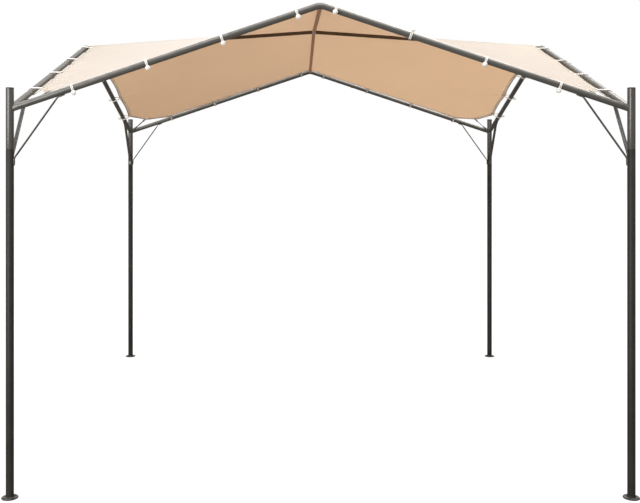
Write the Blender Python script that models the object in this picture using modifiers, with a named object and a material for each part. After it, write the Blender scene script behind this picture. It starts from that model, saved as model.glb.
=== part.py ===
"""Party tent: a square steel tube frame with a gable on every side, under one cloth roof.

Metres, +Z up. The origin is on the ground under the middle of the roof, and the front faces -Y.
Every piece is made once for the front side and its left post, then set out on all four sides.
"""

import math

import bmesh
import bpy
from mathutils import Matrix, Vector

# Plan and heights of the frame
POST_SPACING = 3.0
EAVE_HEIGHT = 1.876
GABLE_RISE = 0.502
CENTRE_RISE = 0.104
POST_RISE = 0.099
SEAM_DROP = 0.194

# Tubes
POST_RADIUS = 0.019
RAFTER_RADIUS = 0.016
POLE_RADIUS = 0.011
PEAK_ARM = 0.468
PEAK_BEND = 0.08
CAP_HEIGHT = 0.006
CAP_ROUND = 0.002
HUB_WALL = 0.005
HUB_DEPTH = 0.013
HUB_SINK = 0.002
HUB_ROUND = 0.003

# Foot plates
PLATE_RADIUS = 0.040
PLATE_THICKNESS = 0.006
PLATE_ROUND = 0.005
COLLAR_WALL = 0.003
COLLAR_HEIGHT = 0.005
COLLAR_ROUND = 0.002
PEG_HOLES = 4
PEG_HOLE_RADIUS = 0.0045
PEG_HOLE_EDGE = 0.006

# Braces: flattened tubes, pressed flat at both ends
BRACE_DROP = 0.237
BRACE_REACH = 0.231
BRACE_TAB = 0.036
BRACE_TAPER = 0.030
BRACE_WIDTH = 0.020
BRACE_DEPTH = 0.008
TAB_WIDTH = 0.022
TAB_DEPTH = 0.003

# Cloth roof
CLOTH_INSET = 0.025
CLOTH_THICKNESS = 0.003
END_TIE_INSET = 0.316
CORNER_INSET = 0.143
EAVE_LIFT = 0.011

# Fits and facets
GAP = 0.0003
TUBE_SIDES = 24
ARC_STEPS = 6
BEND_STEPS = 8
BRACE_SIDES = 16
CLOTH_CELLS = 12
CUTTER_SIZE = 0.15
SMOOTH_ANGLE = math.radians(40)

# Sizes that follow
HALF = POST_SPACING / 2
POST_TOP = EAVE_HEIGHT + POST_RISE
POST_SEAM = EAVE_HEIGHT - SEAM_DROP
VIRTUAL_PEAK = EAVE_HEIGHT + GABLE_RISE
PITCH = math.atan2(GABLE_RISE, HALF)
SLOPE_LENGTH = math.hypot(HALF, GABLE_RISE)
PEAK_TOP = VIRTUAL_PEAK - PEAK_BEND * (1 / math.cos(PITCH) - 1)
CENTRE_TOP = PEAK_TOP + CENTRE_RISE
HUB_RADIUS = POLE_RADIUS + HUB_WALL
CLOTH_HALF = HALF - RAFTER_RADIUS - CLOTH_INSET

SIDES = ("front", "right", "back", "left")
CORNERS = ("front_left", "front_right", "back_right", "back_left")
SIDE_ENDS = (("left", "right"), ("front", "back"), ("right", "left"), ("back", "front"))


def clear_scene():
    for obj in list(bpy.data.objects):
        bpy.data.objects.remove(obj, do_unlink=True)


def new_collection(name):
    collection = bpy.data.collections.new(name)
    bpy.context.scene.collection.children.link(collection)
    return collection


def finish(name, colour, roughness, metallic):
    """A Principled material of one sRGB colour."""
    material = bpy.data.materials.new(name)
    material.use_nodes = True
    shader = material.node_tree.nodes["Principled BSDF"]
    linear = [((c / 255 + 0.055) / 1.055) ** 2.4 for c in colour]
    shader.inputs["Base Color"].default_value = (*linear, 1)
    shader.inputs["Roughness"].default_value = roughness
    shader.inputs["Metallic"].default_value = metallic
    material.diffuse_color = (*linear, 1)
    return material


def add_object(name, data, collection):
    obj = bpy.data.objects.new(name, data)
    collection.objects.link(obj)
    return obj


def mesh_of(shape, name):
    """The closed bmesh as a mesh, facing out and shaded smooth round its curves."""
    mesh = bpy.data.meshes.new(name)
    bmesh.ops.recalc_face_normals(shape, faces=shape.faces)
    shape.to_mesh(mesh)
    shape.free()
    mesh.shade_smooth()
    mesh.set_sharp_from_angle(angle=SMOOTH_ANGLE)
    return mesh


def tube_mesh(name, radius, length):
    """A round bar that stands on the origin along +Z."""
    shape = bmesh.new()
    bmesh.ops.create_cone(
        shape, cap_ends=True, segments=TUBE_SIDES, radius1=radius, radius2=radius, depth=length
    )
    bmesh.ops.translate(shape, verts=shape.verts, vec=(0, 0, length / 2))
    return mesh_of(shape, name)


def arc(centre, radius, start, end, steps):
    """Points of an arc in a plane, with both its ends. Angles in degrees."""
    angles = [math.radians(start + (end - start) * i / steps) for i in range(steps + 1)]
    return [
        (centre[0] + radius * math.cos(a), centre[1] + radius * math.sin(a)) for a in angles
    ]


def turned(name, profile, collection):
    """A solid turned about Z from a profile of (radius, height) points, top to bottom."""
    mesh = bpy.data.meshes.new(name)
    points = [(radius, 0, height) for radius, height in profile]
    mesh.from_pydata(points, [(i, i + 1) for i in range(len(points) - 1)], [])
    obj = add_object(name, mesh, collection)
    screw = obj.modifiers.new("Turn", "SCREW")
    screw.steps = screw.render_steps = TUBE_SIDES
    screw.use_merge_vertices = True
    screw.merge_threshold = 0.00001
    return obj


def evaluated_mesh(obj, name):
    """The object's mesh with its modifiers or its bevel made real, its doubles merged."""
    bpy.context.view_layer.update()
    graph = bpy.context.evaluated_depsgraph_get()
    mesh = bpy.data.meshes.new_from_object(obj.evaluated_get(graph))
    shape = bmesh.new()
    shape.from_mesh(mesh)
    bmesh.ops.remove_doubles(shape, verts=shape.verts, dist=0.00001)
    bpy.data.meshes.remove(mesh)
    return mesh_of(shape, name)


def cut(obj, cutter):
    boolean = obj.modifiers.new("Cut " + cutter.name, "BOOLEAN")
    boolean.operation = "DIFFERENCE"
    boolean.solver = "EXACT"
    boolean.object = cutter


def as_cutter(obj):
    obj.hide_render = True
    obj.display_type = "WIRE"
    return obj


def drop(obj):
    bpy.data.objects.remove(obj, do_unlink=True)


def aim(start, end):
    """The rotation that turns +Z from start towards end."""
    return (Vector(end) - Vector(start)).to_track_quat("Z", "Y").to_euler()


def upright_mesh(obj, name):
    """The finished mesh of a slanting piece, turned the way the piece lies. The piece is removed."""
    mesh = evaluated_mesh(obj, name)
    mesh.transform(obj.rotation_euler.to_matrix().to_4x4())
    drop(obj)
    return mesh


def rafter_point(distance):
    """A point of the front left rafter's axis, at this distance from the post's axis."""
    return Vector(
        (
            -HALF + distance * math.cos(PITCH),
            -HALF,
            EAVE_HEIGHT + distance * math.sin(PITCH),
        )
    )


# Posts and feet


def foot_plate_mesh(collection, cutters):
    """A round plate with a collar that the post stands in, and holes for the pegs."""
    bore = POST_RADIUS + GAP
    rim = bore + COLLAR_WALL
    top = PLATE_THICKNESS + COLLAR_HEIGHT
    profile = [
        (0, PLATE_THICKNESS),
        (bore, PLATE_THICKNESS),
        (bore, top),
        *arc((rim - COLLAR_ROUND, top - COLLAR_ROUND), COLLAR_ROUND, 90, 0, ARC_STEPS),
        (rim, PLATE_THICKNESS),
        *arc(
            (PLATE_RADIUS - PLATE_ROUND, PLATE_THICKNESS - PLATE_ROUND),
            PLATE_ROUND,
            90,
            0,
            ARC_STEPS,
        ),
        (PLATE_RADIUS, 0),
        (0, 0),
    ]
    plate = turned("foot_plate_blank", profile, collection)
    hole_circle = PLATE_RADIUS - PEG_HOLE_EDGE - PEG_HOLE_RADIUS
    for i in range(PEG_HOLES):
        angle = math.tau * (i + 0.5) / PEG_HOLES
        mesh = tube_mesh("peg_hole", PEG_HOLE_RADIUS, 3 * PLATE_THICKNESS)
        hole = as_cutter(add_object(f"peg_hole_{i}", mesh, cutters))
        hole.location = (
            hole_circle * math.cos(angle),
            hole_circle * math.sin(angle),
            -PLATE_THICKNESS,
        )
        cut(plate, hole)
    mesh = evaluated_mesh(plate, "foot_plate")
    drop(plate)
    return mesh


def post_cap_mesh(collection):
    """A round end cap with a softened rim."""
    profile = [
        (0, CAP_HEIGHT),
        *arc((POST_RADIUS - CAP_ROUND, CAP_HEIGHT - CAP_ROUND), CAP_ROUND, 90, 0, ARC_STEPS),
        (POST_RADIUS, 0),
        (0, 0),
    ]
    cap = turned("post_cap_blank", profile, collection)
    mesh = evaluated_mesh(cap, "post_cap")
    drop(cap)
    return mesh


# Roof frame


def rafter_mesh(name, mirrored, collection, cutters):
    """The rafter beside the left post, or its mirror image beside the right one.

    It runs from the post to the bent peak tube. Its lower end is coped round the post and
    mitred against the rafter of the next side.
    """
    length = SLOPE_LENGTH - PEAK_ARM - GAP / 2
    rafter = add_object(name, tube_mesh(name, RAFTER_RADIUS, length), collection)
    rafter.location = rafter_point(0)
    rafter.rotation_euler = aim(rafter_point(0), rafter_point(1))

    post = add_object(
        name + "_post_cut", tube_mesh("post_cut", POST_RADIUS + GAP, CUTTER_SIZE), cutters
    )
    post.location = (-HALF, -HALF, EAVE_HEIGHT - CUTTER_SIZE / 2)
    cut(rafter, as_cutter(post))

    block = bmesh.new()
    bmesh.ops.create_cube(block, size=CUTTER_SIZE)
    bmesh.ops.translate(block, verts=block.verts, vec=(0, CUTTER_SIZE / 2 - GAP / 2, 0))
    mitre = add_object(name + "_mitre_cut", mesh_of(block, "mitre_cut"), cutters)
    mitre.location = (-HALF, -HALF, EAVE_HEIGHT)
    mitre.rotation_euler = (0, 0, math.radians(45))
    cut(rafter, as_cutter(mitre))

    mesh = upright_mesh(rafter, name)
    if mirrored:
        mesh.transform(Matrix.Scale(-1, 4, (1, 0, 0)))
        mesh.flip_normals()
    return mesh


def peak_curve(name, radius, collection):
    """The bent tube over the middle of a side: two straight arms and a round bend."""
    bend_centre = (0, VIRTUAL_PEAK - PEAK_BEND / math.cos(PITCH))
    degrees = math.degrees(PITCH)
    bend = arc(bend_centre, PEAK_BEND, 90 + degrees, 90 - degrees, BEND_STEPS)
    arm = PEAK_ARM - GAP / 2
    ends = [
        (side * arm * math.cos(PITCH), VIRTUAL_PEAK - arm * math.sin(PITCH)) for side in (-1, 1)
    ]
    points = [ends[0], *bend, ends[1]]
    data = bpy.data.curves.new(name, "CURVE")
    data.dimensions = "3D"
    data.bevel_depth = radius
    data.bevel_resolution = TUBE_SIDES // 2 - 2
    data.use_fill_caps = True
    spline = data.splines.new("POLY")
    spline.points.add(len(points) - 1)
    for point, (x, z) in zip(spline.points, points):
        point.co = (x, 0, z - PEAK_TOP, 1)
    curve = add_object(name, data, collection)
    curve.location = (0, -HALF, PEAK_TOP)
    return curve


def peak_tube_mesh(name, radius, collection):
    curve = peak_curve(name, radius, collection)
    mesh = evaluated_mesh(curve, name)
    drop(curve)
    return mesh


def hub_mesh(collection):
    """The turned hub where the four ridge poles meet, a little lower than their tops."""
    top = POLE_RADIUS - HUB_SINK
    profile = [
        (0, top),
        *arc((HUB_RADIUS - HUB_ROUND, top - HUB_ROUND), HUB_ROUND, 90, 0, ARC_STEPS),
        *arc((HUB_RADIUS - HUB_ROUND, HUB_ROUND - HUB_DEPTH), HUB_ROUND, 0, -90, ARC_STEPS),
        (0, -HUB_DEPTH),
    ]
    hub = turned("centre_hub_blank", profile, collection)
    mesh = evaluated_mesh(hub, "centre_hub")
    drop(hub)
    return mesh


def ridge_pole_mesh(collection, cutters):
    """The front ridge pole, from the peak tube up to the hub, coped at both ends."""
    start = Vector((0, -HALF, PEAK_TOP))
    end = Vector((0, 0, CENTRE_TOP))
    name = "ridge_pole"
    pole = add_object(name, tube_mesh(name, POLE_RADIUS, (end - start).length), collection)
    pole.location = start
    pole.rotation_euler = aim(start, end)

    cope = add_object(
        "peak_tube_cut", peak_tube_mesh("peak_tube_cut", RAFTER_RADIUS + GAP, cutters), cutters
    )
    cope.location = start
    cut(pole, as_cutter(cope))

    seat = add_object("hub_cut", tube_mesh("hub_cut", HUB_RADIUS + GAP, CUTTER_SIZE), cutters)
    seat.location = end - Vector((0, 0, CUTTER_SIZE / 2))
    cut(pole, as_cutter(seat))

    return upright_mesh(pole, name)


# Braces


def brace_stations():
    """(centre, direction, half width, half depth, squareness) along the left brace.

    The points lie in the plane of the side, from the bend at the post, which is the origin.
    The lower tab lies along the post and the upper one along the underside of the rafter.
    """
    tab = TAB_DEPTH / 2
    across = BRACE_REACH - POST_RADIUS - GAP
    underside = (RAFTER_RADIUS + GAP + tab) / math.cos(PITCH)
    rise = BRACE_DROP + BRACE_REACH * math.tan(PITCH) - underside
    foot = Vector((tab, 0))
    head = Vector((across, rise))
    down = Vector((0, 1))
    run = (head - foot).normalized()
    slope = Vector((math.cos(PITCH), math.sin(PITCH)))
    flat = (TAB_WIDTH / 2, tab, 0.35)
    oval = (BRACE_WIDTH / 2, BRACE_DEPTH / 2, 1.0)
    return [
        (foot - down * BRACE_TAB, down, *flat),
        (foot, (down + run).normalized(), *flat),
        (foot + run * BRACE_TAPER, run, *oval),
        (head - run * BRACE_TAPER, run, *oval),
        (head, (run + slope).normalized(), *flat),
        (head + slope * BRACE_TAB, slope, *flat),
    ]


def section(half_width, half_depth, squareness):
    """Points round a section that goes from a near rectangle to an ellipse as squareness grows."""
    points = []
    for i in range(BRACE_SIDES):
        angle = math.tau * (i + 0.5) / BRACE_SIDES
        c, s = math.cos(angle), math.sin(angle)
        points.append(
            (
                half_width * math.copysign(abs(c) ** squareness, c),
                half_depth * math.copysign(abs(s) ** squareness, s),
            )
        )
    return points


def brace_mesh():
    """A loft through the brace's sections, closed by a flat face at each end."""
    shape = bmesh.new()
    rings = []
    for centre, along, half_width, half_depth, squareness in brace_stations():
        normal = Vector((-along.y, along.x))
        ring = []
        for wide, deep in section(half_width, half_depth, squareness):
            point = centre + normal * deep
            ring.append(shape.verts.new((point.x, wide, point.y)))
        rings.append(ring)
    for lower, upper in zip(rings, rings[1:]):
        for i in range(BRACE_SIDES):
            j = (i + 1) % BRACE_SIDES
            shape.faces.new((lower[i], lower[j], upper[j], upper[i]))
    shape.faces.new(rings[0])
    shape.faces.new(rings[-1])
    return mesh_of(shape, "brace")


# Cloth roof


def cloth_height(x, y):
    """The cloth's underside: straight over the ridge poles, sagging to the corners between.

    At the corners it is EAVE_LIFT above the rafters' axes, level with the tops of the tubes.
    """
    lift = POLE_RADIUS / math.cos(PITCH) + GAP
    middle = CENTRE_TOP + lift
    ridge_end = middle - CENTRE_RISE * CLOTH_HALF / HALF
    eave = EAVE_HEIGHT + (HALF - CLOTH_HALF) * math.tan(PITCH) + EAVE_LIFT
    ridge_fall = middle - ridge_end
    saddle = ridge_end - ridge_fall - eave
    u = abs(x) / CLOTH_HALF
    v = abs(y) / CLOTH_HALF
    return middle - ridge_fall * (u + v) - saddle * u * v


def trim_corner(shape, start, end):
    """Cuts off what lies outside the upright plane through two points of the cloth's edge."""
    along = Vector((end[0] - start[0], end[1] - start[1], 0))
    outward = Vector((along.y, -along.x, 0)).normalized()
    if outward.dot(Vector((*start, 0))) < 0:
        outward = -outward
    bmesh.ops.bisect_plane(
        shape,
        geom=shape.verts[:] + shape.edges[:] + shape.faces[:],
        dist=0.000001,
        plane_co=(*start, 0),
        plane_no=outward,
        clear_outer=True,
    )


def canopy_mesh():
    """One sheet over all four quarters, its corners cut back to their own ties."""
    shape = bmesh.new()
    bmesh.ops.create_grid(
        shape, x_segments=2 * CLOTH_CELLS, y_segments=2 * CLOTH_CELLS, size=CLOTH_HALF
    )
    tie = HALF - END_TIE_INSET
    corner = HALF - CORNER_INSET
    for sx in (-1, 1):
        for sy in (-1, 1):
            trim_corner(shape, (sx * tie, sy * CLOTH_HALF), (sx * corner, sy * corner))
            trim_corner(shape, (sx * CLOTH_HALF, sy * tie), (sx * corner, sy * corner))
    for vert in shape.verts:
        vert.co.z = cloth_height(vert.co.x, vert.co.y)
    mesh = bpy.data.meshes.new("canopy")
    shape.to_mesh(mesh)
    shape.free()
    mesh.shade_smooth()
    return mesh


# Setting out


def place(name, mesh, material, side, collection, location, turn=0.0):
    """One copy of a piece, in the frame of its side."""
    obj = add_object(name, mesh, collection)
    if not mesh.materials:
        mesh.materials.append(material)
    obj.parent = side
    obj.location = location
    obj.rotation_euler = (0, 0, turn)
    return obj


def main():
    clear_scene()
    tent = new_collection("party_tent")
    cutters = new_collection("cutters")

    steel = finish("coated_steel", (78, 77, 75), 0.45, 0.0)
    plate_steel = finish("coated_plate", (74, 73, 71), 0.5, 0.0)
    black_cap = finish("black_cap", (45, 45, 44), 0.5, 0.0)
    grey_hub = finish("grey_hub", (168, 164, 158), 0.45, 0.0)
    cloth = finish("beige_cloth", (222, 200, 168), 0.85, 0.0)

    post_foot = PLATE_THICKNESS + GAP
    corner = (-HALF, -HALF)
    plate = foot_plate_mesh(tent, cutters)
    lower = tube_mesh("lower_post", POST_RADIUS, POST_SEAM - GAP / 2 - post_foot)
    upper = tube_mesh("upper_post", POST_RADIUS, POST_TOP - POST_SEAM - GAP / 2)
    cap = post_cap_mesh(tent)
    rafters = (
        rafter_mesh("rafter_low_side", False, tent, cutters),
        rafter_mesh("rafter_high_side", True, tent, cutters),
    )
    peak = peak_tube_mesh("peak_tube", RAFTER_RADIUS, tent)
    pole = ridge_pole_mesh(tent, cutters)
    brace = brace_mesh()
    brace_x = HALF - POST_RADIUS - GAP
    brace_z = EAVE_HEIGHT - BRACE_DROP

    for k, side_name in enumerate(SIDES):
        side = add_object("side_" + side_name, None, tent)
        side.rotation_euler = (0, 0, k * math.pi / 2)
        post = CORNERS[k]
        place("foot_plate_" + post, plate, plate_steel, side, tent, (*corner, 0))
        place("lower_post_" + post, lower, steel, side, tent, (*corner, post_foot))
        place("upper_post_" + post, upper, steel, side, tent, (*corner, POST_SEAM + GAP / 2))
        place("post_cap_" + post, cap, black_cap, side, tent, (*corner, POST_TOP + GAP))
        for i, end in enumerate(SIDE_ENDS[k]):
            label = f"{side_name}_{end}"
            sign = 2 * i - 1
            rafter_start = (sign * HALF, -HALF, EAVE_HEIGHT)
            place("rafter_" + label, rafters[i], steel, side, tent, rafter_start)
            brace_start = (sign * brace_x, -HALF, brace_z)
            place("brace_" + label, brace, steel, side, tent, brace_start, i * math.pi)
        place("peak_tube_" + side_name, peak, steel, side, tent, (0, -HALF, PEAK_TOP))
        place("ridge_pole_" + side_name, pole, steel, side, tent, (0, -HALF, PEAK_TOP))

    hub = add_object("centre_hub", hub_mesh(tent), tent)
    hub.data.materials.append(grey_hub)
    hub.location = (0, 0, CENTRE_TOP)

    canopy = add_object("canopy", canopy_mesh(), tent)
    canopy.data.materials.append(cloth)
    thicken = canopy.modifiers.new("Cloth thickness", "SOLIDIFY")
    thicken.thickness = CLOTH_THICKNESS
    thicken.offset = 1.0


main()
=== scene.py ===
"""Party tent: a coated steel tube frame with a gable on every side, under one beige cloth roof.

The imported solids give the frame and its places. This script makes the finer pieces that stand
for them, the bungee loops, screws, seams and eyelets that go with them, their finishes, and the
studio round them.

Metres, +Z up. The origin is on the ground under the middle of the roof, and the front faces -Y.
A piece is made once for the front side or the front left post, then set out on all four sides.
"""

import logging
import math
from collections.abc import Iterable, Sequence
from dataclasses import dataclass
from enum import Enum
from functools import cached_property

import bmesh
import bpy
from mathutils import Matrix, Vector, noise


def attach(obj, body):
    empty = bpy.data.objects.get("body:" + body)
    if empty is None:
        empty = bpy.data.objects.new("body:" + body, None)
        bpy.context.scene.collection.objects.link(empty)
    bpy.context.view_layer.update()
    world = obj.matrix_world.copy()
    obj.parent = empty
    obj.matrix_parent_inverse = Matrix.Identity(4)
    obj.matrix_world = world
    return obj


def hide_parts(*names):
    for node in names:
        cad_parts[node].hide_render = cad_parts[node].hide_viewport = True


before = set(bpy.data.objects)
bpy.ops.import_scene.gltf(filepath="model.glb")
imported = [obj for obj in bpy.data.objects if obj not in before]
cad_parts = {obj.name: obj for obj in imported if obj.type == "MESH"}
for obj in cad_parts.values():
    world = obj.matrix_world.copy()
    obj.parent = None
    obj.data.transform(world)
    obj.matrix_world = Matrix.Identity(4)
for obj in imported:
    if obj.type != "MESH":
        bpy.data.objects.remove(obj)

LOG = logging.getLogger("party_tent")
BODY = "root"
MIRROR = Matrix.Scale(-1, 4, (1, 0, 0))
RIGHT, INWARD, UP = (Vector(way).freeze() for way in ((1, 0, 0), (0, 1, 0), (0, 0, 1)))

Point = tuple[float, float, float]
Shape = bmesh.types.BMesh
Verts = list[bmesh.types.BMVert]
Edges = list[bmesh.types.BMEdge]
Piece = bpy.types.Object
Tree = bpy.types.NodeTree
Source = bpy.types.Node | bpy.types.NodeSocket


class Side(Enum):
    """The four sides, counted anticlockwise from the front as seen from above."""

    FRONT = 0
    RIGHT = 1
    BACK = 2
    LEFT = 3

    @property
    def label(self) -> str:
        """The side's name in a piece's name."""
        return self.name.lower()

    @property
    def turn(self) -> Matrix:
        """The turn about Z from the front side to this one."""
        return Matrix.Rotation(self.value * math.pi / 2, 4, "Z")

    @property
    def corner(self) -> str:
        """The name of the post at this side's left end, as seen from outside."""
        return ("front_left", "front_right", "back_right", "back_left")[self.value]

    def end_label(self, hand: "Hand") -> str:
        """The name of one half of this side.

        Args:
            hand: The left or right half, as seen from outside.

        Returns:
            The side's name and the end's, such as front_left.
        """
        ends = (("left", "right"), ("front", "back"), ("right", "left"), ("back", "front"))
        return f"{self.label}_{ends[self.value][0 if hand is Hand.LEFT else 1]}"


LABELS = [side.label for side in Side]
CORNERS = [side.corner for side in Side]


class Hand(Enum):
    """The two halves of a side, as seen from outside. The value is the half's sign along X."""

    LEFT = -1
    RIGHT = 1


class Slot(Enum):
    """The record's material slots."""

    STEEL = "coated_steel"
    PLATE = "coated_plate"
    CAP = "black_cap"
    HUB = "grey_hub"
    CLOTH = "beige_cloth"


@dataclass(frozen=True)
class TentSizes:
    """The sizes that more than one piece follows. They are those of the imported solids."""

    post_spacing: float = 3.0
    eave_height: float = 1.876
    gable_rise: float = 0.502
    centre_rise: float = 0.104
    post_rise: float = 0.099
    seam_drop: float = 0.194
    post_radius: float = 0.019
    rafter_radius: float = 0.016
    pole_radius: float = 0.011
    peak_arm: float = 0.468
    peak_bend: float = 0.08
    hub_wall: float = 0.005
    plate_thickness: float = 0.006
    cloth_inset: float = 0.025
    corner_inset: float = 0.143
    eave_lift: float = 0.011
    gap: float = 0.0003

    @property
    def half(self) -> float:
        """Half the distance between post axes."""
        return self.post_spacing / 2

    @property
    def pitch(self) -> float:
        """The slope of a gable, in radians."""
        return math.atan2(self.gable_rise, self.half)

    @property
    def slope(self) -> Vector:
        """The way up the left half of the front gable."""
        return Vector((math.cos(self.pitch), 0, math.sin(self.pitch)))

    @property
    def under_slope(self) -> Vector:
        """The way straight down out of that slope."""
        return Vector((math.sin(self.pitch), 0, -math.cos(self.pitch)))

    @property
    def post_top(self) -> float:
        """The height of the post tube's upper end."""
        return self.eave_height + self.post_rise

    @property
    def post_seam(self) -> float:
        """The height where the upper post tube plugs into the lower one."""
        return self.eave_height - self.seam_drop

    @property
    def virtual_peak(self) -> float:
        """The height where the axes of a side's two rafters would cross."""
        return self.eave_height + self.gable_rise

    @property
    def peak_top(self) -> float:
        """The height of the peak tube's axis at the middle of its bend."""
        return self.virtual_peak - self.peak_bend * (1 / math.cos(self.pitch) - 1)

    @property
    def centre_top(self) -> float:
        """The height of the ridge poles' axes at the hub."""
        return self.peak_top + self.centre_rise

    @property
    def hub_radius(self) -> float:
        """The outside radius of the hub."""
        return self.pole_radius + self.hub_wall

    @property
    def cloth_half(self) -> float:
        """Half the cloth's width between the ties of two opposite sides."""
        return self.half - self.rafter_radius - self.cloth_inset

    def rafter_axis(self, along: float) -> Vector:
        """A point on a gable's axis, its bend left out.

        Args:
            along: The distance from the middle of the side, along X.

        Returns:
            The point, on the front side.
        """
        height = self.virtual_peak - abs(along) * math.tan(self.pitch)
        return Vector((along, -self.half, height))


# Colour and shader nodes


def linear(hex_colour: str) -> tuple[float, float, float, float]:
    """Turns an sRGB colour into the linear one that a shader takes.

    Args:
        hex_colour: Six hexadecimal digits.

    Returns:
        Red, green, blue and an alpha of 1.
    """
    channels = [int(hex_colour[i : i + 2], 16) / 255 for i in (0, 2, 4)]
    return (*(c / 12.92 if c <= 0.04045 else ((c + 0.055) / 1.055) ** 2.4 for c in channels), 1.0)


def add_node(
    tree: Tree, kind: str, settings: dict[str | int, object] | None = None,
    links: dict[str | int, Source] | None = None, stops: Sequence[tuple[float, str]] = (),
    **properties: object,
) -> bpy.types.Node:
    """Adds a shader node.

    Args:
        tree: The material's node tree.
        kind: The node's type name, without its ShaderNode prefix.
        settings: Input values by socket name or number.
        links: What feeds this node's inputs: a socket, or a node by its first output.
        stops: A colour ramp's places and their sRGB colours.
        **properties: The node's own properties.

    Returns:
        The node.
    """
    node = tree.nodes.new("ShaderNode" + kind)
    for name, value in properties.items():
        setattr(node, name, value)
    for name, value in (settings or {}).items():
        node.inputs[name].default_value = value
    for name, source in (links or {}).items():
        socket = source.outputs[0] if isinstance(source, bpy.types.Node) else source
        tree.links.new(socket, node.inputs[name])
    elements = node.color_ramp.elements if stops else ()
    while len(elements) < len(stops):
        elements.new(0.5)
    for element, (place, colour) in zip(elements, stops):
        element.position = place
        element.color = linear(colour)
    return node


class Finish:
    """A finish of the real tent. Each subclass builds one material, once."""

    name = "finish"
    _made: dict[str, bpy.types.Material] = {}

    def material(self) -> bpy.types.Material:
        """Makes the finish's material when it is first asked for.

        Returns:
            The material.
        """
        if self.name not in Finish._made:
            material = bpy.data.materials.new(self.name)
            material.use_nodes = True
            tree = material.node_tree
            tree.nodes.clear()
            add_node(tree, "OutputMaterial", links={"Surface": self.shader(tree)})
            Finish._made[self.name] = material
        return Finish._made[self.name]

    def shader(self, tree: Tree) -> bpy.types.Node:
        """Builds the finish's shader.

        Args:
            tree: The material's node tree. Not used here.

        Returns:
            The node that feeds the material's output.
        """
        raise NotImplementedError


@dataclass(frozen=True)
class PowderCoat(Finish):
    """Dark grey polyester powder coat, baked on steel tube.

    To the eye it is a satin skin with a fine orange peel, a little browner where it lies thin,
    and lighter on what faces up: faint dust, and on the roof tube and foot plate copies below,
    a painted top highlight as well.
    """

    name: str = "powder_coated_steel"
    colour: str = "454340"
    thin_colour: str = "4A4845"
    dust_and_top_light_colour: str = "75706A"
    dust_and_top_light_share: float = 0.25
    dust_and_top_light_from: float = 0.55
    dust_and_top_light_full: float = 1.0
    roughness: float = 0.21
    specular: float = 0.5
    peel_mm: float = 1.5
    peel_depth_mm: float = 0.0025

    def shader(self, tree: Tree) -> bpy.types.Node:
        """Builds the finish's shader.

        Args:
            tree: The material's node tree.

        Returns:
            The node that feeds the material's output.
        """
        where = add_node(tree, "TexCoord").outputs["Object"]
        patches = add_node(
            tree, "TexNoise", {"Scale": 9.0, "Detail": 4.0, "Roughness": 0.6}, {"Vector": where}
        )
        coat = add_node(
            tree, "ValToRGB", links={"Fac": patches},
            stops=((0.38, self.colour), (0.72, self.thin_colour)),
        )
        facing = add_node(
            tree, "SeparateXYZ", links={"Vector": add_node(tree, "NewGeometry").outputs["Normal"]}
        ).outputs["Z"]
        specks = add_node(
            tree, "TexNoise", {"Scale": 40.0, "Detail": 3.0, "Roughness": 0.5}, {"Vector": where}
        )
        # What faces up is mixed toward a lighter colour: faint dust, and on some copies a painted
        # top highlight.
        lying = add_node(
            tree, "MapRange",
            {"From Min": self.dust_and_top_light_from, "From Max": self.dust_and_top_light_full, "To Max": self.dust_and_top_light_share},
            {"Value": facing},
        )
        dust_and_top_light = add_node(tree, "Math", links={0: lying, 1: specks}, operation="MULTIPLY")
        colour = add_node(
            tree, "MixRGB", {"Color2": linear(self.dust_and_top_light_colour)}, {"Fac": dust_and_top_light, "Color1": coat}
        )
        rough = add_node(
            tree, "MapRange", {"To Min": self.roughness - 0.02, "To Max": self.roughness + 0.04},
            {"Value": patches},
        )
        peel = add_node(
            tree, "TexNoise", {"Scale": 1000 / self.peel_mm, "Detail": 1.0}, {"Vector": where}
        )
        bump = add_node(
            tree, "Bump", {"Strength": 0.35, "Distance": self.peel_depth_mm / 1000},
            {"Height": peel},
        )
        return add_node(
            tree, "BsdfPrincipled", {"IOR": 1.5, "Specular IOR Level": self.specular},
            {"Base Color": colour, "Roughness": rough, "Normal": bump},
        )


@dataclass(frozen=True)
class PlateCoat(PowderCoat):
    """The same coat on the pressed foot plates, lighter on top: scuffs from shoes and soil, and a
    painted highlight.
    """

    name: str = "powder_coated_plate"
    colour: str = "1F1E1C"
    thin_colour: str = "2B2927"
    # The flat top takes a pale colour: scuffs, and a painted highlight on the face that looks up.
    dust_and_top_light_colour: str = "7F7C77"
    dust_and_top_light_share: float = 0.72
    dust_and_top_light_from: float = 0.8
    roughness: float = 0.45
    specular: float = 0.25


@dataclass(frozen=True)
class MouldedPlastic(Finish):
    """Injection moulded plastic, with a fine spark eroded grain.

    To the eye it is one even colour with a soft highlight that the grain breaks up a little,
    and a white one lets some daylight through.
    """

    name: str = "black_moulded_cap"
    colour: str = "2B2A28"
    shade: str = "353432"
    roughness: float = 0.5
    through: float = 0.0
    grain_mm: float = 0.8

    def shader(self, tree: Tree) -> bpy.types.Node:
        """Builds the finish's shader.

        Args:
            tree: The material's node tree.

        Returns:
            The node that feeds the material's output.
        """
        where = add_node(tree, "TexCoord").outputs["Object"]
        clouds = add_node(tree, "TexNoise", {"Scale": 40.0, "Detail": 2.0}, {"Vector": where})
        colour = add_node(
            tree, "ValToRGB", links={"Fac": clouds}, stops=((0.35, self.colour), (0.7, self.shade))
        )
        grain = add_node(
            tree, "TexNoise", {"Scale": 1000 / self.grain_mm, "Detail": 2.0}, {"Vector": where}
        )
        bump = add_node(tree, "Bump", {"Strength": 0.25, "Distance": 0.00004}, {"Height": grain})
        face = add_node(
            tree, "BsdfPrincipled", {"Roughness": self.roughness, "IOR": 1.46},
            {"Base Color": colour, "Normal": bump},
        )
        if self.through == 0:
            return face
        through = add_node(tree, "BsdfTranslucent", {"Color": linear(self.colour)})
        return add_node(tree, "MixShader", {"Fac": self.through}, {1: face, 2: through})


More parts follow.
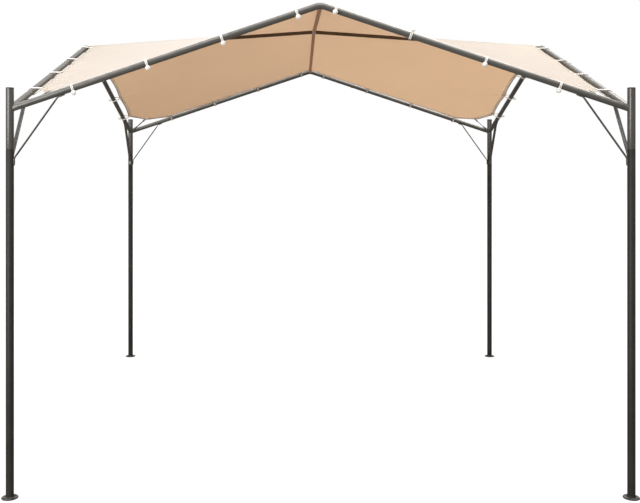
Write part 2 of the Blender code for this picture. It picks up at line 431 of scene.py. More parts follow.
@dataclass(frozen=True)
class ZincPlate(Finish):
    """Bright zinc plated steel, as on bolts and eyelets.

    To the eye it is a pale bluish metal with cloudy dull patches.
    """

    name: str = "zinc_plated_steel"
    colour: str = "C9C8C4"
    dull: str = "A5A49F"

    def shader(self, tree: Tree) -> bpy.types.Node:
        """Builds the finish's shader.

        Args:
            tree: The material's node tree.

        Returns:
            The node that feeds the material's output.
        """
        where = add_node(tree, "TexCoord").outputs["Object"]
        clouds = add_node(tree, "TexNoise", {"Scale": 300.0, "Detail": 3.0}, {"Vector": where})
        colour = add_node(
            tree, "ValToRGB", links={"Fac": clouds}, stops=((0.3, self.dull), (0.65, self.colour))
        )
        rough = add_node(tree, "MapRange", {"To Min": 0.22, "To Max": 0.45}, {"Value": clouds})
        return add_node(
            tree, "BsdfPrincipled", {"Metallic": 1.0}, {"Base Color": colour, "Roughness": rough}
        )


@dataclass(frozen=True)
class WovenPolyester(Finish):
    """The outer face of plain woven polyester, dyed beige.

    To the eye it is matt, with a pale sheen at a grazing look, faint slubs and soft clouds of
    dye, and daylight comes through it. The thread spacing is 0.5 mm, drawn 2.5 mm wide so that
    it shows at all.
    """

    name: str = "beige_woven_polyester"
    colour: str = "C1C1B8"
    shade: str = "BAB9AE"
    light_through: str = "FDEADC"
    through: float = 0.42
    sheen: float = 1.0
    specular: float = 0.5
    thread_mm: float = 2.5
    thread_depth_mm: float = 0.25
    roughness: float = 0.6

    def threads(self, tree: Tree, cloth: Source, where: Source) -> tuple[Source, Source | None]:
        """Draws sewing over the cloth's colour. The single cloth has none.

        Args:
            tree: The material's node tree. Not used here.
            cloth: The cloth's colour.
            where: The UV map, in metres. Not used here.

        Returns:
            The colour, and where the stitches are, if there are any.
        """
        return cloth, None

    def shader(self, tree: Tree) -> bpy.types.Node:
        """Builds the finish's shader.

        Args:
            tree: The material's node tree.

        Returns:
            The node that feeds the material's output.
        """
        where = add_node(tree, "UVMap", uv_map="metres")
        clouds = add_node(
            tree, "TexNoise", {"Scale": 1.7, "Detail": 3.0, "Roughness": 0.55}, {"Vector": where}
        )
        colour = add_node(
            tree, "ValToRGB", links={"Fac": clouds}, stops=((0.3, self.colour), (0.7, self.shade))
        )
        heights = []
        for direction in ("X", "Y"):
            thread = add_node(
                tree, "TexWave",
                {
                    "Scale": math.tau / 20 * 1000 / self.thread_mm, "Distortion": 0.6,
                    "Detail": 1.0, "Detail Scale": 0.4,
                },
                {"Vector": where}, wave_type="BANDS", bands_direction=direction,
            )
            heights.append(thread.outputs["Fac"])
        weave = add_node(tree, "Math", links={0: heights[0], 1: heights[1]}, operation="MULTIPLY")
        shaded = add_node(tree, "MapRange", {"To Max": 0.10}, {"Value": weave})
        woven = add_node(
            tree, "MixRGB", {"Color2": linear(self.shade)}, {"Fac": shaded, "Color1": colour}
        )
        sewn, stitches = self.threads(tree, woven, where)
        height = weave
        if stitches is not None:
            height = add_node(
                tree, "Math", {2: 1.0}, {0: stitches, 1: weave}, operation="MULTIPLY_ADD"
            )
        bump = add_node(
            tree, "Bump", {"Strength": 0.2, "Distance": self.thread_depth_mm / 1000},
            {"Height": height},
        )
        face = add_node(
            tree, "BsdfPrincipled",
            {
                "Roughness": self.roughness, "IOR": 1.5, "Specular IOR Level": self.specular,
                "Sheen Weight": self.sheen, "Sheen Roughness": 0.35,
            },
            {"Base Color": sewn, "Normal": bump},
        )
        through = add_node(
            tree, "BsdfTranslucent", {"Color": linear(self.light_through)}, {"Normal": bump}
        )
        return add_node(tree, "MixShader", {"Fac": self.through}, {1: face, 2: through})


@dataclass(frozen=True)
class CoatedBack(WovenPolyester):
    """The cloth's underside, filled with a thin waterproof coat.

    To the eye it is quite without sheen, and a deeper tan than the outer face: partly the coat,
    and partly painted warm light, standing in for daylight seen through the cloth from below.
    """

    name: str = "beige_polyester_coated_back"
    # The deeper tan is partly painted warm light through the cloth.
    colour: str = "D9B994"
    shade: str = "D2B18A"
    light_through: str = "FFEBD4"
    through: float = 0.52
    sheen: float = 0.0
    specular: float = 0.15
    roughness: float = 0.8
    thread_depth_mm: float = 0.15


@dataclass(frozen=True)
class FoldedHem(WovenPolyester):
    """The same cloth where it is folded double at a hem or felled at a seam.

    To the eye it is darker from below than the single cloth, because less light comes through,
    and it carries lines of lockstitch. The stitches are 3 mm long, drawn 8 mm so that they show.
    """

    name: str = "folded_polyester_hem"
    colour: str = "CBC0B0"
    shade: str = "C3B7A5"
    light_through: str = "FFFFFF"
    through: float = 0.60
    sheen: float = 0.6
    stitch_lines: tuple[float, ...] = (0.0030, 0.0215)
    stitch_mm: float = 8.0
    stitch_width: float = 0.0008
    stitch_colour: str = "A58B6C"
    # A band along the fold, drawn darker: painted shade of the doubled cloth.
    painted_fold_shade_width: float = 0.0
    painted_fold_shade_colour: str = "A89B8C"

    def threads(self, tree: Tree, cloth: Source, where: Source) -> tuple[Source, Source | None]:
        """Draws the lines of stitches over the cloth's colour.

        Args:
            tree: The material's node tree.
            cloth: The cloth's colour.
            where: The UV map, in metres: along the band and across it.

        Returns:
            The colour with its stitches, and where they are.
        """
        parts = add_node(tree, "SeparateXYZ", links={"Vector": where}).outputs
        # Along the fold the colour is mixed darker: painted shade of the doubled cloth.
        if self.painted_fold_shade_width:
            folded = add_node(
                tree, "Math", {1: self.painted_fold_shade_width}, {0: parts["Y"]}, operation="LESS_THAN"
            )
            cloth = add_node(
                tree, "MixRGB", {"Color2": linear(self.painted_fold_shade_colour)},
                {"Fac": folded, "Color1": cloth},
            )
        marks = None
        for line in self.stitch_lines:
            off = add_node(tree, "Math", {1: line}, {0: parts["Y"]}, operation="SUBTRACT")
            size = add_node(tree, "Math", links={0: off}, operation="ABSOLUTE")
            near = add_node(tree, "Math", {1: self.stitch_width}, {0: size}, operation="LESS_THAN")
            marks = (
                near
                if marks is None
                else add_node(tree, "Math", links={0: marks, 1: near}, operation="ADD")
            )
        count = add_node(
            tree, "Math", {1: 1000 / self.stitch_mm}, {0: parts["X"]}, operation="MULTIPLY"
        )
        place = add_node(tree, "Math", links={0: count}, operation="FRACT")
        sewn = add_node(tree, "Math", {1: 0.72}, {0: place}, operation="LESS_THAN")
        stitches = add_node(tree, "Math", links={0: marks, 1: sewn}, operation="MULTIPLY")
        colour = add_node(
            tree, "MixRGB", {"Color2": linear(self.stitch_colour)},
            {"Fac": stitches, "Color1": cloth},
        )
        return colour, stitches


@dataclass(frozen=True)
class BraidedCord(Finish):
    """Elastic cord in a braided polyester sleeve.

    To the eye it is matt, with small crossing ribs that slant both ways round the cord, and the
    grooves between them are painted darker as shade.
    """

    name: str = "white_braided_elastic"
    colour: str = "F0EDE8"
    shade: str = "D6D1C9"
    rib_mm: float = 2.6
    rib_depth_mm: float = 0.3

    def shader(self, tree: Tree) -> bpy.types.Node:
        """Builds the finish's shader.

        Args:
            tree: The material's node tree.

        Returns:
            The node that feeds the material's output.
        """
        where = add_node(tree, "UVMap", uv_map="metres")
        parts = add_node(tree, "SeparateXYZ", links={"Vector": where}).outputs
        ribs = []
        for slant in ("ADD", "SUBTRACT"):
            diagonal = add_node(
                tree, "Math", links={0: parts["X"], 1: parts["Y"]}, operation=slant
            )
            turns = add_node(
                tree, "Math", {1: math.tau * 1000 / self.rib_mm}, {0: diagonal},
                operation="MULTIPLY",
            )
            ribs.append(add_node(tree, "Math", links={0: turns}, operation="SINE"))
        braid = add_node(tree, "Math", links={0: ribs[0], 1: ribs[1]}, operation="MULTIPLY")
        depth = add_node(tree, "MapRange", {"From Min": -1.0, "From Max": 1.0}, {"Value": braid})
        # The grooves between the ribs take the darker colour: painted shade.
        colour = add_node(
            tree, "ValToRGB", links={"Fac": depth}, stops=((0.2, self.shade), (0.6, self.colour))
        )
        bump = add_node(
            tree, "Bump", {"Strength": 0.6, "Distance": self.rib_depth_mm / 1000},
            {"Height": depth},
        )
        return add_node(
            tree, "BsdfPrincipled",
            {"Roughness": 0.8, "IOR": 1.5, "Sheen Weight": 0.3, "Sheen Roughness": 0.5},
            {"Base Color": colour, "Normal": bump},
        )


@dataclass(frozen=True)
class LitFloor(Finish):
    """A white acrylic floor lit from below, with only a breath of shadow on it."""

    name: str = "lit_white_floor"
    glow: float = 0.93
    colour: str = "FFFFFF"
    share: float = 0.12

    def shader(self, tree: Tree) -> bpy.types.Node:
        """Builds the finish's shader.

        Args:
            tree: The material's node tree.

        Returns:
            The node that feeds the material's output.
        """
        glow = add_node(
            tree, "Emission",
            {"Color": linear(self.colour), "Strength": self.glow / (1 - self.share)},
        )
        matt = add_node(tree, "BsdfDiffuse", {"Color": linear(self.colour)})
        return add_node(tree, "MixShader", {"Fac": self.share}, {1: glow, 2: matt})


STEEL = PowderCoat()
# Roof tubes of the front and back: a lighter colour than the posts, and pale from the normals up.
# Both are painted highlight, where the sky and lamps catch the tops of the tubes.
ROOF_STEEL = PowderCoat(
    name="powder_coated_steel_roof_tube", colour="4C4A47", thin_colour="52504C",
    dust_and_top_light_colour="A09B94", dust_and_top_light_share=0.65, dust_and_top_light_from=0.1, dust_and_top_light_full=0.7,
)
# Roof tubes of the two sides: a darker copy of the same coat with a weaker painted top highlight,
# standing in for the less light they catch.
SIDE_ROOF_STEEL = PowderCoat(
    name="powder_coated_steel_roof_tube_side", colour="454340", thin_colour="4A4845",
    dust_and_top_light_colour="A09B94", dust_and_top_light_share=0.30, dust_and_top_light_from=0.3, dust_and_top_light_full=1.0, roughness=0.30,
    specular=0.35,
)
# Lower post tubes: a rougher, duller coat, and a darker colour that is painted shade for the low,
# poorly lit part of the post.
LOWER_STEEL = PowderCoat(
    name="powder_coated_steel_lower_post", colour="252321", thin_colour="2D2B28", roughness=0.45,
    specular=0.18,
)
# Ridge poles: the same dark coat, painted warm brown for the warm light the cloth throws on them
# from above.
POLE_STEEL = PowderCoat(
    name="powder_coated_steel_ridge_pole", colour="584635", thin_colour="5F4D3C", roughness=0.40,
    specular=0.25,
)
# Front and back ridge poles: painted paler still, for more of the cloth's warm light on them.
POLE_STEEL_PAINTED_LIT = PowderCoat(
    name="powder_coated_steel_ridge_pole_pale", colour="BC9074", thin_colour="C4987C",
    roughness=0.50, specular=0.12,
)
PLATE = PlateCoat()
CAP = MouldedPlastic()
HUB = MouldedPlastic(name="grey_moulded_hub", colour="A8A49E", shade="B4B0AA", roughness=0.4)
BALL = MouldedPlastic(
    name="white_ball_plastic", colour="F8F7F4", shade="F3F2EF", roughness=0.3, through=0.4
)
CORD = BraidedCord()
CORNER_CORD = BraidedCord(name="grey_braided_elastic", colour="615E5A", shade="4A4744")
ZINC = ZincPlate()
CLOTH = WovenPolyester()
CLOTH_BACK = CoatedBack()
HEM = FoldedHem()
# The hem's underside: drawn near white, much paler than the beige cloth, as painted light coming
# through the hem; its darker band along the fold is painted shade.
HEM_BACK = FoldedHem(
    name="folded_hem_coated_back", colour="F8F8FA", shade="F2F2F4", through=0.50, painted_fold_shade_width=0.009,
    sheen=0.0, specular=0.15, roughness=0.8,
)
SEAM = FoldedHem(name="felled_polyester_seam", stitch_lines=(-0.006, 0.006))


# Mesh work that several pieces share


def as_object(name: str, shape: Shape) -> Piece:
    """Makes an object of a shape.

    Args:
        name: The object's name.
        shape: The shape. It is freed.

    Returns:
        The object, in the scene.
    """
    mesh = bpy.data.meshes.new(name)
    shape.to_mesh(mesh)
    shape.free()
    made = bpy.data.objects.new(name, mesh)
    bpy.context.scene.collection.objects.link(made)
    return made


def place_piece(
    name: str, shape: Shape, finish: Finish,
    nodes: Iterable[str] = (), smooth_deg: float = 40.0, under: Finish | None = None,
) -> Piece:
    """Makes an object of a finished bmesh and sets it in the tent.

    Args:
        name: The piece's name.
        shape: The mesh, in the tent's own coordinates. It is freed.
        finish: What the piece is coloured and coated with.
        nodes: The solids that the piece stands for.
        smooth_deg: Edges sharper than this stay sharp.
        under: The finish of faces whose material number is 1.

    Returns:
        The piece.
    """
    piece = as_object(name, shape)
    mesh = piece.data
    mesh.shade_smooth()
    mesh.set_sharp_from_angle(angle=math.radians(smooth_deg))
    mesh.materials.append(finish.material())
    if under is not None:
        mesh.materials.append(under.material())
    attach(piece, BODY)
    named = list(nodes)
    if named:
        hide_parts(*named)
    LOG.info("%s: %d faces, stands for %s", name, len(mesh.polygons), ", ".join(named) or "none")
    return piece


def close_up(shape: Shape) -> None:
    """Merges a closed shape's doubles and turns its faces outwards.

    Args:
        shape: The mesh to mend.
    """
    bmesh.ops.remove_doubles(shape, verts=shape.verts, dist=0.00001)
    bmesh.ops.recalc_face_normals(shape, faces=shape.faces)


def moved(shape: Shape, where: Matrix) -> Shape:
    """Moves or turns a whole shape.

    Args:
        shape: The shape.
        where: Where it goes.

    Returns:
        The same shape.
    """
    bmesh.ops.transform(shape, matrix=where, verts=shape.verts)
    return shape


def turned_copy(source: Shape, turn: Matrix) -> Shape:
    """A copy of a shape, moved or turned, with its faces still outwards.

    Args:
        source: The shape, which is left as it is.
        turn: Where the copy goes. A mirror is allowed.

    Returns:
        The copy.
    """
    made = moved(source.copy(), turn)
    if turn.determinant() < 0:
        bmesh.ops.reverse_faces(made, faces=made.faces)
    return made


def merged(shapes: Iterable[Shape]) -> Shape:
    """Several shapes as one bmesh.

    Args:
        shapes: The shapes, which are freed.

    Returns:
        One bmesh that holds them all.
    """
    whole = bmesh.new()
    carrier = bpy.data.meshes.new("carrier")
    for shape in shapes:
        shape.to_mesh(carrier)
        shape.free()
        whole.from_mesh(carrier)
    bpy.data.meshes.remove(carrier)
    return whole


def set_out(
    source: Shape, stem: str, ends: Sequence[str], finishes: Sequence[Finish],
    slot: Slot | None = None, smooth_deg: float = 40.0,
) -> list[Piece]:
    """Sets a front piece out on all four sides.

    Args:
        source: The front side's shape. It is freed.
        stem: How the pieces' names start.
        ends: How they end, side by side from the front.
        finishes: What they are finished with, by turns.
        slot: The record's slot. A piece that has one stands for the solid of its name.
        smooth_deg: Edges sharper than this stay sharp.

    Returns:
        The four pieces.
    """
    made = []
    for side, end in zip(Side, ends):
        shape = turned_copy(source, side.turn)
        finish = finishes[side.value % len(finishes)]
        name, nodes = (stem + end, ()) if slot is None else (f"{stem}{end}_piece", [stem + end])
        made.append(place_piece(name, shape, finish, nodes, smooth_deg))
    source.free()
    return made


def set_out_pairs(
    source: Shape, stem: str, finishes: Sequence[Finish], smooth_deg: float = 40.0
) -> list[Piece]:
    """Sets a steel piece out on both halves of all four sides.

    Args:
        source: The shape on the front side's left half. It is freed.
        stem: How the pieces' names start.
        finishes: What they are finished with, by turns.
        smooth_deg: Edges sharper than this stay sharp.

    Returns:
        The eight pieces.
    """
    halves = {Hand.LEFT: source, Hand.RIGHT: turned_copy(source, MIRROR)}
    made = []
    for hand, half in halves.items():
        ends = [side.end_label(hand) for side in Side]
        made += set_out(half, stem, ends, finishes, Slot.STEEL, smooth_deg)
    return made


def scale_ring(
    shape: Shape, verts: Verts, where: Matrix, scale: tuple[float, float, float],
) -> None:
    """Scales a ring of vertices about its own middle.

    Args:
        shape: The bmesh that holds them.
        verts: The ring.
        where: The frame that the ring is round.
        scale: The scale along that frame's X, Y and Z.
    """
    matrix = Matrix.Diagonal((*scale, 1))
    bmesh.ops.transform(shape, matrix=matrix, space=where.inverted(), verts=verts)


def rod(radius: float, length: float, sides: int) -> Shape:
    """A closed rod along Z with its middle at the origin, as a drill's bite.

    Args:
        radius: Its radius.
        length: Its length.
        sides: Facets round it.

    Returns:
        The rod.
    """
    shape = bmesh.new()
    bmesh.ops.create_cone(
        shape, cap_ends=True, segments=sides, radius1=radius, radius2=radius, depth=length
    )
    return shape


def lathe(profile: Sequence[tuple[float, float]], steps: int = 48) -> Shape:
    """Turns a profile about Z.

    Args:
        profile: Radius and height of each point, from one end to the other.
        steps: Facets round the axis.

    Returns:
        The turned shape, closed where its ends lie on the axis.
    """
    shape = bmesh.new()
    verts = [shape.verts.new((radius, 0, height)) for radius, height in profile]
    edges = [shape.edges.new(pair) for pair in zip(verts, verts[1:])]
    bmesh.ops.spin(
        shape, geom=verts + edges, cent=(0, 0, 0), axis=(0, 0, 1), angle=math.tau, steps=steps,
        use_merge=True, use_duplicate=False,
    )
    close_up(shape)
    return shape


def arc(
    centre: tuple[float, float], radius: float, start: float, end: float, steps: int = 6
) -> list[tuple[float, float]]:
    """Points along an arc, both ends among them.

    Args:
        centre: The arc's centre.
        radius: Its radius.
        start: The first angle, in degrees.
        end: The last angle, in degrees.
        steps: How many chords.

    Returns:
        The points.
    """
    angles = [math.radians(start + (end - start) * i / steps) for i in range(steps + 1)]
    return [(centre[0] + radius * math.cos(a), centre[1] + radius * math.sin(a)) for a in angles]


def ring(radius: float, where: Matrix, sides: int) -> tuple[Shape, Edges]:
    """Starts a shape with a circle of edges to extrude from.

    Args:
        radius: The circle's radius.
        where: Its place, with its axis along the matrix's Z.
        sides: How many edges.

    Returns:
        The shape and its edges.
    """
    shape = bmesh.new()
    bmesh.ops.create_circle(shape, cap_ends=False, segments=sides, radius=radius)
    return moved(shape, where), list(shape.edges)


def push(shape: Shape, edges: Edges, move: Vector | None = None) -> tuple[Edges, Verts]:
    """Extrudes a ring of edges.

    Args:
        shape: The bmesh that holds them.
        edges: The ring.
        move: How far the new ring goes.

    Returns:
        The new ring's edges and vertices.
    """
    made = bmesh.ops.extrude_edge_only(shape, edges=edges)["geom"]
    verts = [item for item in made if isinstance(item, bmesh.types.BMVert)]
    new_edges = [item for item in made if isinstance(item, bmesh.types.BMEdge)]
    if move is not None:
        bmesh.ops.translate(shape, verts=verts, vec=move)
    inside = set(verts)
    return [e for e in new_edges if all(v in inside for v in e.verts)], verts


def loft(
    loops: Sequence[Sequence[Vector]], along: Sequence[float], across: Sequence[float],
    closed: bool = False,
) -> Shape:
    """Extrudes a loop of edges through a row of like loops, with a UV map in metres.

    Args:
        loops: Each loop's points, in order.
        along: How far along the piece each loop is.
        across: How far round the loop each point is.
        closed: Whether the row ends where it starts, and so needs no end faces.

    Returns:
        The lofted shape, closed.
    """
    shape = bmesh.new()
    order = shape.verts.layers.int.new("order")
    reach = shape.verts.layers.float.new("reach")
    made = bmesh.ops.create_circle(shape, cap_ends=False, segments=len(across), radius=1)
    for i, vert in enumerate(made["verts"]):
        vert[order] = i
        vert[reach] = along[0]
        vert.co = loops[0][i]
    edges = list(shape.edges)
    first = edges
    for loop, place in zip(loops[1:], along[1:]):
        edges, verts = push(shape, edges)
        for vert in verts:
            vert.co = loop[vert[order]]
            vert[reach] = place
    metres = shape.loops.layers.uv.new("metres")
    last = len(across) - 1
    for face in shape.faces:
        ends = {corner.vert[order] for corner in face.loops}
        wraps = 0 in ends and last in ends
        for corner in face.loops:
            i = corner.vert[order]
            v = 2 * across[-1] - across[-2] if wraps and i == 0 else across[i]
            corner[metres].uv = (corner.vert[reach], v)
    if not closed:
        bmesh.ops.holes_fill(shape, edges=first + edges, sides=0)
    close_up(shape)
    return shape


def cord_shape(
    path: Sequence[Vector], radius: float, sides: int = 10, closed: bool = False
) -> Shape:
    """A round cord along a path, its sections kept from twisting.

    Args:
        path: Points of the axis. A closed path's last point is its first.
        radius: The cord's radius.
        sides: Facets round it.
        closed: Whether the path is a loop.

    Returns:
        The cord.
    """
    count = len(path)
    directions = []
    for i in range(count):
        if closed and i in (0, count - 1):
            directions.append((path[1] - path[-2]).normalized())
        else:
            directions.append((path[min(i + 1, count - 1)] - path[max(i - 1, 0)]).normalized())
    side = directions[0].orthogonal().normalized()
    loops, along = [], []
    for i, (point, direction) in enumerate(zip(path, directions)):
        side = (side - direction * side.dot(direction)).normalized()
        up = direction.cross(side)
        turns = [math.tau * k / sides for k in range(sides)]
        loops.append([point + (side * math.cos(t) + up * math.sin(t)) * radius for t in turns])
        along.append(along[-1] + (point - path[i - 1]).length if along else 0.0)
    if closed:
        loops[-1] = loops[0]
    across = [math.tau * radius * k / sides for k in range(sides)]
    return loft(loops, along, across, closed)


def drilled(blank: Shape, tool: Shape) -> Shape:
    """Cuts one closed shape out of another.

    Args:
        blank: The shape to cut. It is freed.
        tool: What is taken away. It is freed.

    Returns:
        What is left.
    """
    holders = [as_object("blank", blank), as_object("tool", tool)]
    cut = holders[0].modifiers.new("cut", "BOOLEAN")
    cut.operation = "DIFFERENCE"
    cut.solver = "EXACT"
    cut.object = holders[1]
    left = bmesh.new()
    left.from_object(holders[0], bpy.context.evaluated_depsgraph_get())
    for holder in holders:
        mesh = holder.data
        bpy.data.objects.remove(holder, do_unlink=True)
        bpy.data.meshes.remove(mesh)
    return left


def share_of(value: float, start: float, reach: float) -> float:
    """How far a value is through a range.

    Args:
        value: The value.
        start: Where the range starts.
        reach: How long it is.

    Returns:
        The share, from 0 to 1.
    """
    return min(max((value - start) / reach, 0), 1)


def eased(share: float) -> float:
    """A share from 0 to 1, made to change slowly at both ends."""
    return share * share * (3 - 2 * share)


def frame_of(axis: Vector, across: Vector, origin: Vector) -> Matrix:
    """A placing matrix with Z along an axis and X near a given direction.

    Args:
        axis: Where Z goes.
        across: Roughly where X goes.
        origin: The new origin.

    Returns:
        The matrix.
    """
    z = axis.normalized()
    x = (across - z * across.dot(z)).normalized()
    y = z.cross(x)
    where = Matrix((x, y, z)).transposed().to_4x4()
    where.translation = origin
    return where


# Posts and feet


@dataclass(frozen=True)
class Post:
    """One corner: a pressed foot plate, a post tube in two lengths, and an end cap."""

    sizes: TentSizes
    plate_radius: float = 0.040
    plate_round: float = 0.005
    plate_dish: float = 0.0004
    plate_edge: float = 0.0006
    bead_wall: float = 0.003
    bead_height: float = 0.0045
    bead_ripples: int = 44
    bead_ripple: float = 0.00022
    bead_sway: tuple[float, float] = (0.0003, 0.0002)
    peg_holes: int = 4
    peg_hole_radius: float = 0.0045
    peg_hole_edge: float = 0.006
    hole_chamfer: float = 0.0010
    tube_wall: float = 0.0012
    rim_round: float = 0.0006
    shoulder: float = 0.0030
    socket_depth: float = 0.012
    neck_length: float = 0.010
    neck_play: float = 0.0002
    cap_height: float = 0.006
    cap_round: float = 0.0018
    cap_step: float = 0.0006
    sides: int = 48

    @property
    def foot(self) -> Vector:
        """The post's axis on the ground, at the front left corner."""
        return Vector((-self.sizes.half, -self.sizes.half, 0))

    def plate_shape(self) -> Shape:
        """Shapes a foot plate.

        Returns:
            The pressed plate with its turned down rim and its four countersunk peg holes.
        """
        top = self.sizes.plate_thickness
        rim = self.plate_radius - self.plate_round
        dish, edge = self.plate_dish, self.plate_edge
        profile = [
            (0, top - dish), (self.sizes.post_radius + self.bead_wall + 0.002, top - dish),
            (rim - 0.003, top - dish), (rim - 0.0012, top - dish / 2),
            *arc((rim, top - self.plate_round), self.plate_round, 90, 0, 8),
            (self.plate_radius, edge), (self.plate_radius - edge, 0), (0, 0),
        ]
        blank = lathe(profile, 96)
        circle = self.plate_radius - self.peg_hole_edge - self.peg_hole_radius
        drills = []
        for i in range(self.peg_holes):
            angle = math.tau * (i + 0.5) / self.peg_holes
            flare = self.hole_chamfer
            hole = [
                (0, -0.01), (self.peg_hole_radius, -0.01),
                (self.peg_hole_radius, top - dish - flare),
                (self.peg_hole_radius + 3 * flare, top - dish + 2 * flare),
                (0, top - dish + 2 * flare),
            ]
            place = Vector((circle * math.cos(angle), circle * math.sin(angle), 0))
            drills.append(moved(lathe(hole, 32), Matrix.Translation(place)))
        plate = drilled(blank, merged(drills))
        bead = self.bead_shape()
        return merged([plate, bead])

    def bead_shape(self) -> Shape:
        """Shapes a plate's weld.

        Returns:
            The weld bead round the foot of the post, with the ripples of its run.
        """
        bore = self.sizes.post_radius + self.sizes.gap
        rim = bore + self.bead_wall
        low = self.sizes.plate_thickness - 0.0006
        top = low + self.bead_height
        profile = [
            (bore, low), (bore, top), *arc((bore + 0.0006, top - 0.0012), 0.0012, 80, 30, 3),
            (rim - 0.0004, low + 0.0016), (rim + 0.0006, low), (bore, low),
        ]
        bead = lathe(profile, self.bead_ripples * 4)
        for vert in bead.verts:
            radius = math.hypot(vert.co.x, vert.co.y)
            outer = (radius - bore) / (rim - bore)
            if outer > 0.05 and vert.co.z > low:
                angle = math.atan2(vert.co.y, vert.co.x)
                ripple = self.bead_ripple * math.sin(self.bead_ripples * angle)
                slow, quick = self.bead_sway
                uneven = slow * math.sin(3 * angle + 1) + quick * math.sin(7 * angle)
                grow = 1 + (ripple + uneven) / radius
                vert.co.x *= grow
                vert.co.y *= grow
                vert.co.z += ripple + uneven
        return bead

    def lower_shape(self) -> Shape:
        """Shapes the lower half of a post.

        Returns:
            The lower tube, open at the top where the upper one plugs in.
        """
        radius = self.sizes.post_radius
        bottom = self.sizes.plate_thickness
        top = self.sizes.post_seam - self.sizes.gap / 2
        inner = radius - self.tube_wall
        return lathe(
            [
                (0, bottom), (radius, bottom), (radius, top - self.rim_round),
                *arc((radius - self.rim_round, top - self.rim_round), self.rim_round, 60, 90, 2),
                (inner, top), (inner, top - self.socket_depth), (0, top - self.socket_depth),
            ],
            self.sides,
        )

    def upper_shape(self) -> Shape:
        """Shapes the upper half of a post.

        Returns:
            The upper tube: a swaged neck, a shoulder, and the full tube up to the cap.
        """
        radius = self.sizes.post_radius
        seam = self.sizes.post_seam + self.sizes.gap / 2
        neck = radius - self.tube_wall - self.neck_play
        foot = seam - self.neck_length
        return lathe(
            [
                (0, foot), (neck, foot), (neck, seam + self.neck_play),
                (neck + 0.0006, seam + 0.0008), (radius - 0.0002, seam + self.shoulder * 0.7),
                (radius, seam + self.shoulder), (radius, self.sizes.post_top),
                (0, self.sizes.post_top),
            ],
            self.sides,
        )

    def cap_shape(self) -> Shape:
        """Shapes a post's end cap.

        Returns:
            The moulded cap: a low dome on a straight rim.
        """
        radius = self.sizes.post_radius
        low = self.sizes.post_top + self.sizes.gap
        top = low + self.cap_height - self.sizes.gap
        return lathe(
            [
                (0, top), (radius * 0.5, top - 0.0002),
                (radius - self.cap_round - 0.002, top - self.cap_step),
                *arc(
                    (radius - self.cap_round, top - self.cap_step - self.cap_round),
                    self.cap_round, 80, 0, 5,
                ),
                (radius, low + 0.0004), (radius - 0.0006, low), (0, low),
            ],
            self.sides,
        )

    def build(self) -> list[Piece]:
        """Builds the four posts.

        Returns:
            Their pieces.
        """
        makes = (
            ("foot_plate_", self.plate_shape, PLATE, Slot.PLATE, 30.0),
            ("lower_post_", self.lower_shape, LOWER_STEEL, Slot.STEEL, 35.0),
            ("upper_post_", self.upper_shape, STEEL, Slot.STEEL, 35.0),
            ("post_cap_", self.cap_shape, CAP, Slot.CAP, 35.0),
        )
        made = []
        for stem, shape_of, finish, slot, crease in makes:
            source = moved(shape_of(), Matrix.Translation(self.foot))
            made += set_out(source, stem, CORNERS, [finish], slot, crease)
        return made


# Gable sides


